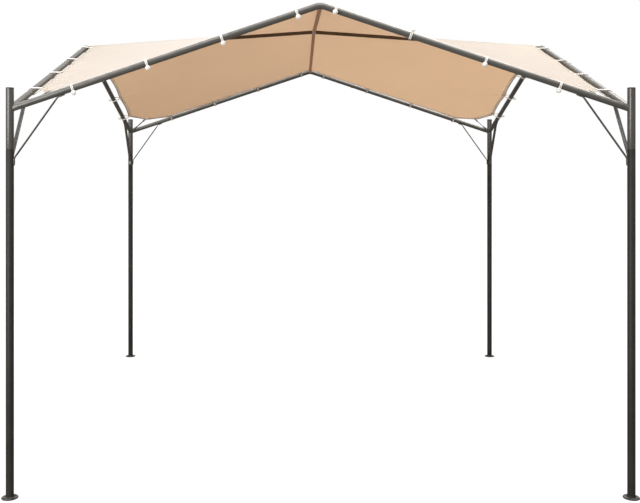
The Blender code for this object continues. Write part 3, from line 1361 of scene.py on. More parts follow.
@dataclass(frozen=True)
class GableTubes:
    """One side's roof tubes: two rafters that plug into a bent peak tube, and a ridge pole."""

    sizes: TentSizes
    tube_wall: float = 0.0012
    shoulder: float = 0.0030
    neck_length: float = 0.009
    neck_play: float = 0.0003
    mouth_spare: float = 0.004
    round_from: float = 0.08
    pressed_width: float = 0.022
    pressed_from: float = 0.058
    pressed_to: float = 0.031
    press_steps: int = 7
    bend_steps: int = 24
    sides: int = 48
    pole_sides: int = 32
    pole_middle: float = 0.45
    cope_rounds: int = 4

    @property
    def rafter_foot(self) -> Vector:
        """Where the left rafter's axis meets its post's axis."""
        return self.sizes.rafter_axis(-self.sizes.half)

    @property
    def rafter_length(self) -> float:
        """The left rafter's length, from the post's axis to the peak tube's end."""
        sizes = self.sizes
        return math.hypot(sizes.half, sizes.gable_rise) - sizes.peak_arm - sizes.gap / 2

    def cope(self, shape: Shape, verts: Iterable[bmesh.types.BMVert]) -> None:
        """Slides a ring along the rafter until it fits the post and the next side's rafter.

        Args:
            shape: The rafter. Not used.
            verts: The ring.
        """
        sizes = self.sizes
        reach = sizes.post_radius + sizes.gap
        along = sizes.slope
        for vert in verts:
            across = vert.co.y + sizes.half
            round_post = math.sqrt(max(reach**2 - across**2, 0))
            off_mitre = across + sizes.gap / math.sqrt(2)
            clear = max(round_post, off_mitre) - (vert.co.x + sizes.half)
            vert.co += along * (clear / along.x)

    def rafter_shape(self) -> Shape:
        """Shapes a rafter.

        Returns:
            The left rafter: pressed oval and coped at the post, swaged at the peak tube.
        """
        radius = self.sizes.rafter_radius
        along = self.sizes.slope
        reached, pressed = self.round_from, 1.0
        where = frame_of(along, INWARD, self.rafter_foot + along * reached)
        shape, start = ring(radius, where, self.sides)
        foot = start
        for i in range(self.press_steps + 1):
            part = i / self.press_steps
            place = self.pressed_from + (self.pressed_to - self.pressed_from) * part
            size = 1 - (1 - self.pressed_width / 2 / radius) * eased(part)
            foot, verts = push(shape, foot, along * (place - reached))
            scale_ring(shape, verts, where, (size / pressed, 1, 1))
            reached, pressed = place, size
        foot, foot_verts = push(shape, foot)
        self.cope(shape, foot_verts)
        inner, inner_verts = push(shape, foot)
        bore = 1 - self.tube_wall / radius
        scale_ring(shape, inner_verts, where, (bore, bore, 1))
        self.cope(shape, inner_verts)
        blind, blind_verts = push(shape, inner)
        scale_ring(shape, blind_verts, where, (1, 1, 0))
        bmesh.ops.holes_fill(shape, edges=blind, sides=0)
        plain = self.rafter_length - self.round_from - self.shoulder
        edges, verts = push(shape, start, along * plain)
        neck = 1 - (self.tube_wall + self.neck_play) / radius
        steps = (
            (0.25, 1 - 0.0002 / radius), (0.75, neck + 0.0004 / radius), (1.0, neck),
            (1.0 + self.neck_length / self.shoulder, neck),
        )
        before = (0.0, 1.0)
        for place, size in steps:
            edges, verts = push(shape, edges, along * (place - before[0]) * self.shoulder)
            shrink = size / before[1]
            scale_ring(shape, verts, where, (shrink, shrink, 1))
            before = (place, size)
        bmesh.ops.holes_fill(shape, edges=edges, sides=0)
        close_up(shape)
        return shape

    def peak_shape(self) -> Shape:
        """Shapes a peak tube.

        Returns:
            The bent tube over the middle of the side, open at both ends.
        """
        sizes = self.sizes
        radius = sizes.rafter_radius
        bore = 1 - self.tube_wall / radius
        along = sizes.slope
        arm = sizes.peak_arm - sizes.gap / 2
        peak = Vector((0, -sizes.half, sizes.virtual_peak))
        end = peak - along * arm
        bend_start = peak - along * (sizes.peak_bend * math.tan(sizes.pitch))
        centre = peak - Vector((0, 0, sizes.peak_bend / math.cos(sizes.pitch)))
        where = frame_of(along, INWARD, end)
        shape, start = ring(radius, where, self.sides)
        edges, verts = push(shape, start, bend_start - end)
        bend = bmesh.ops.spin(
            shape, geom=edges, cent=centre, axis=(0, 1, 0), angle=2 * sizes.pitch,
            steps=self.bend_steps, use_merge=False,
        )["geom_last"]
        last = [item for item in bend if isinstance(item, bmesh.types.BMEdge)]
        fall = Vector((along.x, 0, -along.z))
        far, _ = push(shape, last, fall * (bend_start - end).length)
        for edges, inward, place in (
            (start, along, end), (far, -fall, Vector((-end.x, end.y, end.z)))
        ):
            mouth, verts = push(shape, edges)
            hole = frame_of(inward, INWARD, place)
            scale_ring(shape, verts, hole, (bore, bore, 1))
            blind, _ = push(shape, mouth, inward * (self.neck_length + self.mouth_spare))
            bmesh.ops.holes_fill(shape, edges=blind, sides=0)
        close_up(shape)
        return shape

    def pole_shape(self) -> Shape:
        """Shapes a ridge pole.

        Returns:
            The ridge pole, its ends coped to the peak tube and to the hub.
        """
        sizes = self.sizes
        start = Vector((0, -sizes.half, sizes.peak_top))
        run = Vector((0, 0, sizes.centre_top)) - start
        along = run.normalized()
        where = frame_of(along, RIGHT, start + run / 2)
        shape, middle = ring(sizes.pole_radius, where, self.pole_sides)
        ends = []
        for sense in (-1, 1):
            edges, verts = push(shape, middle, run * (sense * self.pole_middle))
            edges, verts = push(shape, edges)
            ends.append((edges, verts))
        reach = sizes.rafter_radius + sizes.gap
        for vert in ends[0][1]:
            for _ in range(self.cope_rounds):
                drop = vert.co.x**2 / (2 * sizes.peak_bend)
                off = vert.co.z - (sizes.peak_top - drop)
                wanted = math.sqrt(max(reach**2 - off**2, 0)) - sizes.half
                vert.co += along * ((wanted - vert.co.y) / along.y)
        seat = sizes.hub_radius + sizes.gap
        for vert in ends[1][1]:
            wanted = -math.sqrt(seat**2 - vert.co.x**2)
            vert.co += along * ((wanted - vert.co.y) / along.y)
        for edges, _ in ends:
            bmesh.ops.holes_fill(shape, edges=edges, sides=0)
        close_up(shape)
        return shape

    def build(self) -> list[Piece]:
        """Builds the tubes of all four sides.

        Returns:
            Their pieces.
        """
        # Front and back take the copies painted lighter, the two sides the more shaded ones:
        # painted highlight on the roof tubes, painted cloth light on the poles.
        roof_steel = (ROOF_STEEL, SIDE_ROOF_STEEL)
        pole_steel = (POLE_STEEL_PAINTED_LIT, POLE_STEEL)
        made = set_out_pairs(self.rafter_shape(), "rafter_", roof_steel)
        made += set_out(self.peak_shape(), "peak_tube_", LABELS, roof_steel, Slot.STEEL)
        made += set_out(self.pole_shape(), "ridge_pole_", LABELS, pole_steel, Slot.STEEL)
        return made


@dataclass(frozen=True)
class Braces:
    """The flat oval braces in the corners, pressed flat and screwed on at both ends."""

    sizes: TentSizes
    drop: float = 0.237
    reach: float = 0.231
    tab: float = 0.036
    taper: float = 0.030
    width: float = 0.020
    depth: float = 0.008
    tab_width: float = 0.022
    tab_depth: float = 0.003
    knee: float = 0.010
    tip_places: tuple[float, ...] = (0.0004, 0.0012, 0.003, 0.006, 0.011, 0.018)
    tip_edge: float = 0.0006
    tab_squareness: float = 0.3
    run_steps: int = 24
    bend_steps: int = 6
    sides: int = 24

    @property
    def origin(self) -> Vector:
        """Where the front left brace's path starts.

        Returns:
            A point of the post's skin, at the height of the lower knee.
        """
        sizes = self.sizes
        skin = -sizes.half + sizes.post_radius + sizes.gap
        return Vector((skin, -sizes.half, sizes.eave_height - self.drop))

    def path(self) -> list[tuple[Vector, Vector]]:
        """Stations of the left brace's axis, in the side's plane, from the origin.

        Returns:
            Points and directions along it, from the post end to the rafter end.
        """
        sizes = self.sizes
        tab = self.tab_depth / 2
        pitch = sizes.pitch
        across = self.reach - sizes.post_radius - sizes.gap
        underside = (sizes.rafter_radius + sizes.gap + tab) / math.cos(pitch)
        rise = self.drop + self.reach * math.tan(pitch) - underside
        foot = Vector((tab, 0, 0))
        head = Vector((across, 0, rise))
        run = (head - foot).normalized()
        slope = sizes.slope
        stations = []
        for place in self.tip_places:
            stations.append((foot - UP * (self.tab - place), UP))
        stations += self.bend(foot, UP, run)
        length = (head - foot).length
        for i in range(1, self.run_steps):
            place = self.knee + (length - 2 * self.knee) * i / self.run_steps
            stations.append((foot + run * place, run))
        stations += self.bend(head, run, slope)
        for place in reversed(self.tip_places):
            stations.append((head + slope * (self.tab - place), slope))
        return stations

    def bend(self, knee: Vector, before: Vector, after: Vector) -> list[tuple[Vector, Vector]]:
        """Stations round one bend.

        Args:
            knee: Where the two straight lines cross.
            before: The direction before the bend.
            after: The direction after it.

        Returns:
            Points and directions.
        """
        made = []
        for i in range(self.bend_steps + 1):
            t = i / self.bend_steps
            point = (
                (knee - before * self.knee) * (1 - t) ** 2
                + knee * 2 * t * (1 - t)
                + (knee + after * self.knee) * t**2
            )
            made.append((point, before.lerp(after, t).normalized()))
        return made

    def shape(self) -> Shape:
        """Shapes a brace.

        Returns:
            The left brace of the front side, lofted along its path.
        """
        stations = self.path()
        lengths = [0.0]
        for (first, _), (second, _) in zip(stations, stations[1:]):
            lengths.append(lengths[-1] + (second - first).length)
        total = lengths[-1]
        turns = [math.tau * (i + 0.5) / self.sides for i in range(self.sides)]
        loops = []
        for (point, along), s in zip(stations, lengths):
            near = min(s, total - s)
            part = eased(share_of(near, self.tab, self.taper))
            half_width = (self.tab_width + (self.width - self.tab_width) * part) / 2
            half_depth = (self.tab_depth + (self.depth - self.tab_depth) * part) / 2
            squareness = self.tab_squareness + (1 - self.tab_squareness) * part
            tip = self.tab_width / 2
            if near < tip:
                half_width = math.sqrt(max(tip**2 - (tip - near - self.tip_edge) ** 2, 1e-8))
            where = frame_of(along, INWARD, point + self.origin)
            loop = []
            for turn in turns:
                wide, deep = math.cos(turn), math.sin(turn)
                wide = math.copysign(abs(wide) ** squareness, wide) * half_width
                deep = math.copysign(abs(deep) ** squareness, deep) * half_depth
                loop.append(where @ Vector((wide, deep, 0)))
            loops.append(loop)
        return loft(loops, lengths, [turn * self.width / 2 for turn in turns])

    def screw_places(self) -> list[tuple[Vector, Vector]]:
        """Where the front left brace is screwed on.

        Returns:
            For each screw, the middle of the tab's outer face and the way out of it.
        """
        stations = self.path()
        down = self.sizes.under_slope
        half_tab = self.tab / 2 + 0.002
        low = self.origin + stations[0][0] + Vector((self.tab_depth / 2, 0, half_tab))
        high = self.origin + stations[-1][0]
        high += down * (self.tab_depth / 2) - self.sizes.slope * half_tab
        return [(low, RIGHT), (high, down)]

    def build(self) -> list[Piece]:
        """Builds the eight braces.

        Returns:
            Their pieces.
        """
        return set_out_pairs(self.shape(), "brace_", [STEEL], 50.0)


@dataclass(frozen=True)
class Fixings:
    """The coated screws of the braces, and the spring buttons that lock the roof tubes."""

    sizes: TentSizes
    braces: Braces
    head_radius: float = 0.0060
    head_height: float = 0.0020
    socket_radius: float = 0.0020
    socket_depth: float = 0.0012
    button_radius: float = 0.0042
    button_height: float = 0.0045
    button_place: float = 0.353

    def screw_shape(self) -> Shape:
        """Shapes a screw's head.

        Returns:
            A button head with a hexagon socket, on the XY plane, pointing along +Z.
        """
        top = self.head_height
        head = lathe(
            [
                (0, top), (self.socket_radius + 0.0008, top),
                *arc((self.head_radius - top * 0.85, top * 0.15), top * 0.85, 80, 0, 6),
                (self.head_radius, 0), (0, 0),
            ],
            28,
        )
        socket = rod(self.socket_radius, 2 * self.socket_depth, 6)
        return drilled(head, moved(socket, Matrix.Translation(UP * top)))

    def button_shape(self) -> Shape:
        """Shapes a spring button.

        Returns:
            The button's round nose, on the XY plane, pointing along +Z.
        """
        radius = self.button_radius
        return lathe(
            [
                (0, -0.0010), (radius, -0.0010), (radius, self.button_height - 0.0030),
                *arc((radius - 0.0026, self.button_height - 0.0030), 0.0026, 15, 75, 4),
                (0, self.button_height),
            ],
            24,
        )

    def build(self) -> list[Piece]:
        """Builds each side's screws as one piece, and its two buttons as another.

        Returns:
            The eight pieces.
        """
        sizes = self.sizes
        screw = self.screw_shape()
        screws = [
            turned_copy(screw, frame_of(out, Vector((0.1, 1, 0.2)), place))
            for place, out in self.braces.screw_places()
        ]
        screw.free()
        under = sizes.rafter_axis(-self.button_place) + sizes.under_slope * sizes.rafter_radius
        button = moved(self.button_shape(), frame_of(sizes.under_slope, INWARD, under))
        made = []
        for stem, half, finish in (
            ("brace_screws_", merged(screws), STEEL), ("spring_buttons_", button, ZINC)
        ):
            both = merged([turned_copy(half, MIRROR), half])
            made += set_out(both, stem, LABELS, [finish], None, 30.0)
        return made


@dataclass(frozen=True)
class Hub:
    """The turned hub that the four ridge poles meet at."""

    sizes: TentSizes
    sink: float = 0.002
    depth: float = 0.013
    round: float = 0.003

    def build(self) -> Piece:
        """Builds the hub, with a shallow recess above and another below.

        Returns:
            The piece.
        """
        radius = self.sizes.hub_radius
        top = self.sizes.pole_radius - self.sink
        middle = radius - self.round
        profile = [
            (0, top - 0.0015), (0.0055, top - 0.0015), (0.0065, top - 0.0003), (0.0075, top),
            *arc((middle, top - self.round), self.round, 90, 0, 6),
            *arc((middle, self.round - self.depth), self.round, 0, -90, 6), (0.0060, -self.depth),
            (0.0054, -self.depth + 0.0012), (0, -self.depth + 0.0012),
        ]
        shape = moved(lathe(profile, 48), Matrix.Translation(UP * self.sizes.centre_top))
        return place_piece("centre_hub_piece", shape, HUB, ["centre_hub"], 35.0)


# Roof cloth


@dataclass(frozen=True)
class RoofCloth:
    """The one sheet over all four quarters, with its hem, ridge seams and eyelets.

    Its points are named by where they would lie in a flat square. The method hang says where
    such a point hangs, and the sheet, the hem, the seams and the eyelets all follow it.
    """

    sizes: TentSizes
    ties: tuple[float, ...] = (-1.205, -0.843, -0.481, -0.119, 0.077, 0.439, 0.801, 1.163)
    scallop: float = 0.026
    corner_scallop: float = 0.012
    scallop_reach: float = 0.16
    pole_ease: float = 0.004
    rest_lift: float = 0.0011
    pucker: float = 0.0022
    pucker_radius: float = 0.040
    pucker_folds: int = 6
    slack: float = 0.004
    still_reach: float = 0.25
    still_rim: float = 0.10
    broad_waves: tuple[float, float] = (2.1, 3.7)
    small_waves: tuple[float, float] = (6.3, 9.1)
    small_share: float = 0.3
    fine_cell: float = 0.009
    coarse_cell: float = 0.022
    fine_reach: float = 0.055
    thickness: float = 0.0007
    hem_width: float = 0.025
    hem_cell: float = 0.012
    eyelet_inset: float = 0.0125
    eyelet_hole: float = 0.0062
    eyelet_flange: float = 0.0110
    eyelet_wall: float = 0.0006
    eyelet_half: float = 0.0016
    eyelet_lip: float = 0.0004
    eyelet_roll: float = 0.0018
    eyelet_clear: float = 0.001
    seam_width: float = 0.016
    seam_overlap: float = 0.002
    seam_steps: int = 200

    @cached_property
    def tie_nodes(self) -> list[tuple[Vector, Vector]]:
        """Where the sheet is tied.

        Returns:
            The ties and the ways inwards from them, in the flat sheet.
        """
        corners = self.outline()
        nodes = []
        for i, point in enumerate(corners):
            before, after = corners[i - 1], corners[(i + 1) % len(corners)]
            forward = ((point - before).normalized() + (after - point).normalized()).normalized()
            nodes.append((point, Vector((-forward.y, forward.x, 0))))
        return nodes

    @cached_property
    def stretches(self) -> list[tuple[Vector, Vector, Vector]]:
        """The flat sheet's outline, from each tie to the next.

        Returns:
            Each stretch's start, its span and the way inwards.
        """
        corners = self.outline()
        spans = [corners[(i + 1) % len(corners)] - point for i, point in enumerate(corners)]
        inwards = [Vector((-span.y, span.x, 0)).normalized() for span in spans]
        return list(zip(corners, spans, inwards))

    def cuts_corner(self, index: int) -> bool:
        """Whether the stretch of outline after this tie is one of the two at a cut corner."""
        return index % (len(self.ties) + 1) >= len(self.ties) - 1

    def outline(self) -> list[Vector]:
        """Draws the flat sheet.

        Returns:
            Its outline from tie to tie, anticlockwise from the front left.
        """
        points = []
        corner = self.sizes.half - self.sizes.corner_inset
        for side in Side:
            for x in self.ties:
                points.append(side.turn @ Vector((x, -self.sizes.cloth_half, 0)))
            points.append(side.turn @ Vector((corner, -corner, 0)))
        return points

    def height(self, x: float, y: float) -> float:
        """The height of the cloth's underside.

        Args:
            x: Where along X.
            y: Where along Y.

        Returns:
            The height: straight over the ridge poles, and sagging to the corners between.
        """
        sizes = self.sizes
        half = sizes.cloth_half
        middle = sizes.centre_top + sizes.pole_radius / math.cos(sizes.pitch) + sizes.gap
        ridge_end = middle - sizes.centre_rise * half / sizes.half
        eave = sizes.eave_height + (sizes.half - half) * math.tan(sizes.pitch) + sizes.eave_lift
        fall = middle - ridge_end
        saddle = ridge_end - fall - eave
        u = math.sqrt(x * x + self.pole_ease**2) / half
        v = math.sqrt(y * y + self.pole_ease**2) / half
        return middle + self.rest_lift - fall * (u + v) - saddle * u * v

    def drawn_in(self, point: Vector) -> Vector:
        """Draws the edge in between its ties.

        Args:
            point: A point of the flat sheet.

        Returns:
            The point in plan, once the sheet hangs from its ties.
        """
        moved = point.copy()
        for i, (start, span, inward) in enumerate(self.stretches):
            length = span.length
            offset = point - start
            depth = offset.dot(inward)
            share = offset.dot(span) / length**2
            if not 0 < share < 1 or depth > self.scallop_reach:
                continue
            sag = (self.corner_scallop if self.cuts_corner(i) else self.scallop) * length
            fade = (1 - max(depth, 0) / self.scallop_reach) ** 2
            moved += inward * (sag * 4 * share * (1 - share) * fade)
        return moved

    def ripple(self, point: Vector) -> float:
        """The small rise and fall of the hung cloth.

        Args:
            point: A point of the flat sheet.

        Returns:
            The rise: slack between the poles, and puckers that fan out from the ties.
        """
        half = self.sizes.cloth_half
        clear = share_of(min(abs(point.x), abs(point.y)), 0, self.still_reach)
        rim = share_of(half - max(abs(point.x), abs(point.y)), 0, self.still_rim)
        broad, small = (
            noise.noise(Vector((point.x * rate, point.y * rate, level)))
            for rate, level in (self.broad_waves, self.small_waves)
        )
        rise = self.slack * clear * rim * (broad + self.small_share * small)
        for i, (tie, inward) in enumerate(self.tie_nodes):
            offset = point - tie
            distance = offset.length
            if distance > 5 * self.pucker_radius:
                continue
            bearing = math.atan2(
                offset.x * inward.y - offset.y * inward.x, offset.dot(inward) + 1e-9
            )
            near = distance / self.pucker_radius
            swell = near * math.exp(1 - near)
            rise += self.pucker * swell * math.cos(self.pucker_folds * bearing + 2.1 * i)
        return rise

    def hang(self, point: Vector, lift: float = 0.0) -> Vector:
        """Where a point of the flat sheet hangs.

        Args:
            point: The point of the flat sheet.
            lift: How far above the sheet.

        Returns:
            The point in the tent.
        """
        plan = self.drawn_in(point)
        plan.z = self.height(plan.x, plan.y) + self.ripple(point) + lift
        return plan

    def grid_lines(self) -> list[float]:
        """Spaces the sheet's cells.

        Returns:
            The cell lines: close together near the ties and the ridges, wider between.
        """
        half = self.sizes.cloth_half
        lines = [0.0]
        while lines[-1] < half:
            x = lines[-1]
            near = min([abs(x - tie) for tie in self.ties] + [x])
            step = self.fine_cell if near < self.fine_reach else self.coarse_cell
            lines.append(x + step)
        stretch = half / lines[-1]
        positive = [x * stretch for x in lines[1:]]
        return [-x for x in reversed(positive)] + [0.0] + positive

    def sheet_shape(self) -> Shape:
        """Shapes the sheet.

        Returns:
            The sheet, cut to its outline, hung, and with holes under its eyelets.
        """
        lines = self.grid_lines()
        cells = len(lines) - 1
        shape = bmesh.new()
        bmesh.ops.create_grid(shape, x_segments=cells, y_segments=cells, size=cells / 2)
        for vert in shape.verts:
            vert.co.x = lines[round(vert.co.x + cells / 2)]
            vert.co.y = lines[round(vert.co.y + cells / 2)]
        for i, (start, _, inward) in enumerate(self.stretches):
            if not self.cuts_corner(i):
                continue
            bmesh.ops.bisect_plane(
                shape, geom=shape.verts[:] + shape.edges[:] + shape.faces[:], dist=1e-6,
                plane_co=start, plane_no=-inward, clear_outer=True,
            )
        hole = self.eyelet_hole + self.eyelet_clear
        for centre in self.eyelet_centres():
            inside = [v for v in shape.verts if (v.co - centre).length < hole]
            bmesh.ops.delete(shape, geom=inside, context="VERTS")
            for vert in shape.verts:
                offset = vert.co - centre
                if vert.is_boundary and offset.length < 3 * hole and self.depth_of(vert.co) > 1e-4:
                    vert.co = centre + offset.normalized() * hole
        metres = shape.loops.layers.uv.new("metres")
        for face in shape.faces:
            for corner in face.loops:
                corner[metres].uv = corner.vert.co.xy
        for vert in shape.verts:
            vert.co = self.hang(vert.co)
        bmesh.ops.recalc_face_normals(shape, faces=shape.faces)
        bmesh.ops.solidify(shape, geom=shape.faces[:], thickness=self.thickness)
        bmesh.ops.recalc_face_normals(shape, faces=shape.faces)
        for face in shape.faces:
            face.material_index = 1 if face.normal.z < 0 else 0
        return shape

    def depth_of(self, point: Vector) -> float:
        """How far inside the flat outline a point is.

        Args:
            point: A point of the flat sheet.

        Returns:
            Its distance from the nearest line of the outline.
        """
        return min((point - start).dot(inward) for start, _, inward in self.stretches)

    def eyelet_centres(self) -> list[Vector]:
        """The eyelets' middles, in the flat sheet."""
        return [tie + inward * self.eyelet_inset for tie, inward in self.tie_nodes]

    def band(
        self, places: Sequence[tuple[Vector, Vector]], section: Sequence[tuple[float, float]],
        closed: bool,
    ) -> Shape:
        """A flat band that lies on the sheet.

        Args:
            places: Points of the flat sheet and the ways across the band there.
            section: The band's section: how far across, and how far above the sheet.
            closed: Whether the band's end is its start.

        Returns:
            The band.
        """
        loops, along = [], []
        for i, (point, across) in enumerate(places):
            loops.append([self.hang(point + across * off, lift) for off, lift in section])
            along.append(along[-1] + (point - places[i - 1][0]).length if along else 0.0)
        return loft(loops, along, [off for off, _ in section], closed)

    def hem_shape(self) -> Shape:
        """Shapes the hem.

        Returns:
            The folded hem round the whole edge, with its eyelet holes.
        """
        places = []
        for (_, inward), (start, span, square) in zip(self.tie_nodes, self.stretches):
            places.append((start, inward / inward.dot(square)))
            steps = max(2, round(span.length / self.hem_cell))
            for k in range(1, steps):
                places.append((start + span * (k / steps), square))
        places.append(places[0])
        width = self.hem_width
        section = [
            (-0.0008, -0.0006), (-0.0011, 0.0001), (-0.0008, 0.0008), (0.0004, 0.0013),
            (width * 0.5, 0.0014), (width - 0.0010, 0.0012), (width, 0.0004), (width, -0.0004),
            (width - 0.0010, -0.0012), (width * 0.5, -0.0014), (0.0004, -0.0012),
        ]
        hem = self.band(places, section, True)
        drill = rod(self.eyelet_hole, 0.02, 20)
        drills = [turned_copy(drill, self.eyelet_frame(c)) for c in self.eyelet_centres()]
        drill.free()
        hem = drilled(hem, merged(drills))
        for face in hem.faces:
            face.material_index = 1 if face.normal.z < -0.3 else 0
        return hem

    def eyelet_frame(self, centre: Vector) -> Matrix:
        """Where an eyelet sits, square to the cloth.

        Args:
            centre: Its middle, in the flat sheet.

        Returns:
            A placing matrix with Z along the cloth's normal.
        """
        step = 0.008
        right, deep = (
            self.hang(centre + way * step) - self.hang(centre - way * step)
            for way in (RIGHT, INWARD)
        )
        return frame_of(right.cross(deep), right, self.hang(centre))

    def eyelets_shape(self) -> Shape:
        """Shapes the eyelets.

        Returns:
            All the rolled eyelets.
        """
        wall, half, lip, roll = (
            self.eyelet_wall, self.eyelet_half, self.eyelet_lip, self.eyelet_roll
        )
        hole = self.eyelet_hole - wall
        flange = self.eyelet_flange
        profile = [
            (hole, -half - lip), (hole, half + lip),
            *arc((hole + roll, half + lip), roll, 150, 40, 4), (flange - 0.0008, half + wall),
            (flange, half), (flange, half - lip),
            (hole + wall, half - wall), (hole + wall, wall - half), (flange, lip - half),
            (flange, -half), (flange - 0.0008, -half - wall),
            *arc((hole + roll, -half - lip), roll, -40, -150, 4), (hole, -half - lip),
        ]
        source = lathe(profile, 24)
        made = [turned_copy(source, self.eyelet_frame(c)) for c in self.eyelet_centres()]
        source.free()
        return merged(made)

    def seams_shape(self) -> Shape:
        """Shapes the seams.

        Returns:
            The felled seams over the ridge poles, on the upper face.
        """
        half = self.seam_width / 2
        section = [
            (-half, 0.0002), (-half + 0.0006, 0.0009), (-half * 0.4, 0.0011), (0, 0.0009),
            (half * 0.4, 0.0011), (half - 0.0006, 0.0009), (half, 0.0002), (0, 0.0001),
        ]
        end = self.sizes.cloth_half - self.hem_width + self.seam_overlap
        steps = self.seam_steps
        made = []
        for along, across in ((RIGHT, INWARD), (INWARD, -RIGHT)):
            places = [(along * (-end + 2 * end * i / steps), across) for i in range(steps + 1)]
            made.append(self.band(places, section, False))
        return merged(made)

    def build(self) -> list[Piece]:
        """Returns:
            Its pieces.
        """
        sheet = place_piece(
            "roof_cloth", self.sheet_shape(), CLOTH, ["canopy"], 60.0, CLOTH_BACK
        )
        hem = place_piece("roof_hem", self.hem_shape(), HEM, (), 50.0, HEM_BACK)
        seams = place_piece("roof_seams", self.seams_shape(), SEAM, (), 50.0)
        eyelets = place_piece("roof_eyelets", self.eyelets_shape(), ZINC, (), 40.0)
        return [sheet, hem, seams, eyelets]


@dataclass(frozen=True)
class Bungees:
    """The elastic loops that tie the cloth to the tubes, each closed by a ball."""

    sizes: TentSizes
    roof: RoofCloth
    cord_radius: float = 0.0025
    strand_gap: float = 0.0064
    eye_gap: float = 0.0052
    eye_bend: float = 0.0032
    ball_radius: float = 0.0125
    ball_hole: float = 0.0030
    front_bearings: tuple[float, ...] = (238, 238, 246, 230, 206, 118, 232, 250)
    other_bearing: float = 190.0
    ball_clear: float = 0.0006
    strand_turn: float = 0.012
    corner_cord: float = 0.0022
    hook_lift: float = 0.025
    hook_shank: float = 0.034
    hook_radius: float = 0.0085
    hook_wire: float = 0.0025
    hook_sink: float = 0.0006
    hook_steps: int = 28
    tie_play: float = 0.0002
    tie_mouth: float = 0.0040
    near_fork: tuple[float, float] = (0.004, 0.012)
    far_fork: tuple[float, float] = (0.014, 0.010)
    tie_steps: int = 32
    lashing: float = 0.0014
    lashing_insets: tuple[float, float] = (0.019, 0.030)
    lashing_turns: int = 4
    lashing_steps: int = 16

    def ball_shape(self) -> Shape:
        """Shapes a ball.

        Returns:
            The moulded ball, its axis along Z, with the mouth of its bore at both ends.
        """
        radius = self.ball_radius
        rim = math.degrees(math.acos(self.ball_hole / radius))
        mouth = radius * math.sin(math.radians(rim))
        return lathe(
            [
                (0, -mouth + 0.004), (self.ball_hole * 0.8, -mouth + 0.004),
                (self.ball_hole * 0.85, -mouth + 0.0006), *arc((0, 0), radius, -rim, rim, 18),
                (self.ball_hole * 0.85, mouth - 0.0006), (self.ball_hole * 0.8, mouth - 0.004),
                (0, mouth - 0.004),
            ],
            28,
        )

    def belt(self, eye: Vector, tube_radius: float) -> list[tuple[float, float]]:
        """The loop round a tube and through an eyelet, in the plane across the tube.

        Args:
            eye: Where the eyelet is, seen from the tube's axis: inwards and upwards.
            tube_radius: The radius that the cord's axis follows round the tube.

        Returns:
            A closed row of points, its last one the first, each inwards and upwards.
        """
        way = math.degrees(math.atan2(eye.y, eye.x))
        spread = math.degrees(math.acos((tube_radius - self.eye_bend) / eye.length))
        at_eye = arc((eye.x, eye.y), self.eye_bend, way + spread, way - spread, 8)
        round_tube = arc((0, 0), tube_radius, way - spread, way + spread - 360, 24)
        top, bottom = Vector(round_tube[-1]), Vector(at_eye[0])
        upper = [tuple(top.lerp(bottom, i / 6)) for i in range(1, 6)]
        top, bottom = Vector(at_eye[-1]), Vector(round_tube[0])
        lower = [tuple(top.lerp(bottom, i / 6)) for i in range(1, 6)]
        return [*at_eye, *lower, *round_tube, *upper, at_eye[0]]

    def crossing(self, centre: Vector) -> tuple[Vector, Vector, Vector]:
        """Where a bungee crosses the front side's tube.

        Args:
            centre: Its eyelet's middle, in the flat sheet.

        Returns:
            The point on the tube's axis, the way along the tube, and the way up from it.
        """
        sizes = self.sizes
        eye = self.roof.hang(centre)
        hand = 1 if eye.x > 0 else -1
        along = Vector((math.cos(sizes.pitch), 0, -hand * math.sin(sizes.pitch)))
        up = Vector((hand * math.sin(sizes.pitch), 0, math.cos(sizes.pitch)))
        apex = Vector((0, -sizes.half, sizes.virtual_peak))
        return apex + along * (eye - apex).dot(along), along, up

    def strand_shapes(self, centre: Vector) -> list[Shape]:
        """The two strands of one bungee of the front side.

        Args:
            centre: Its eyelet's middle, in the flat sheet.

        Returns:
            The strands.
        """
        root, along, up = self.crossing(centre)
        eye = self.roof.hang(centre)
        seen = Vector(((eye - root).dot(INWARD), (eye - root).dot(up)))
        tube_radius = self.sizes.rafter_radius + self.cord_radius
        points = self.belt(seen, tube_radius)
        strands = []
        for sign in (-1, 1):
            path = []
            for a, b in points:
                near = share_of(a, self.strand_turn, seen.x - self.strand_turn)
                shift = sign * (self.strand_gap + (self.eye_gap - self.strand_gap) * near) / 2
                path.append(root + INWARD * a + up * b + along * shift)
            path[-1] = path[0]
            strands.append(cord_shape(path, self.cord_radius, 10, True))
        return strands

    def seated_ball(self, centre: Vector, bearing_deg: float) -> Shape:
        """The ball of one bungee of the front side.

        Args:
            centre: Its eyelet's middle, in the flat sheet.
            bearing_deg: How far round the tube it sits. 180 is straight out, 270 straight down.

        Returns:
            The ball.
        """
        root, along, up = self.crossing(centre)
        bearing = math.radians(bearing_deg)
        reach = self.sizes.rafter_radius + self.ball_radius + self.ball_clear
        out = INWARD * math.cos(bearing) + up * math.sin(bearing)
        bore = -INWARD * math.sin(bearing) + up * math.cos(bearing)
        return moved(self.ball_shape(), frame_of(bore, along, root + out * reach))

    def hook_centre(self) -> Vector:
        """Places the front right post's screw eye.

        Returns:
            The middle of its ring, over the crotch of the rafters.
        """
        sizes = self.sizes
        out = sizes.post_radius + self.hook_shank + self.hook_radius
        axis = Vector((sizes.half, -sizes.half, sizes.eave_height + self.hook_lift))
        return axis + Vector((-1, 1, 0)).normalized() * out

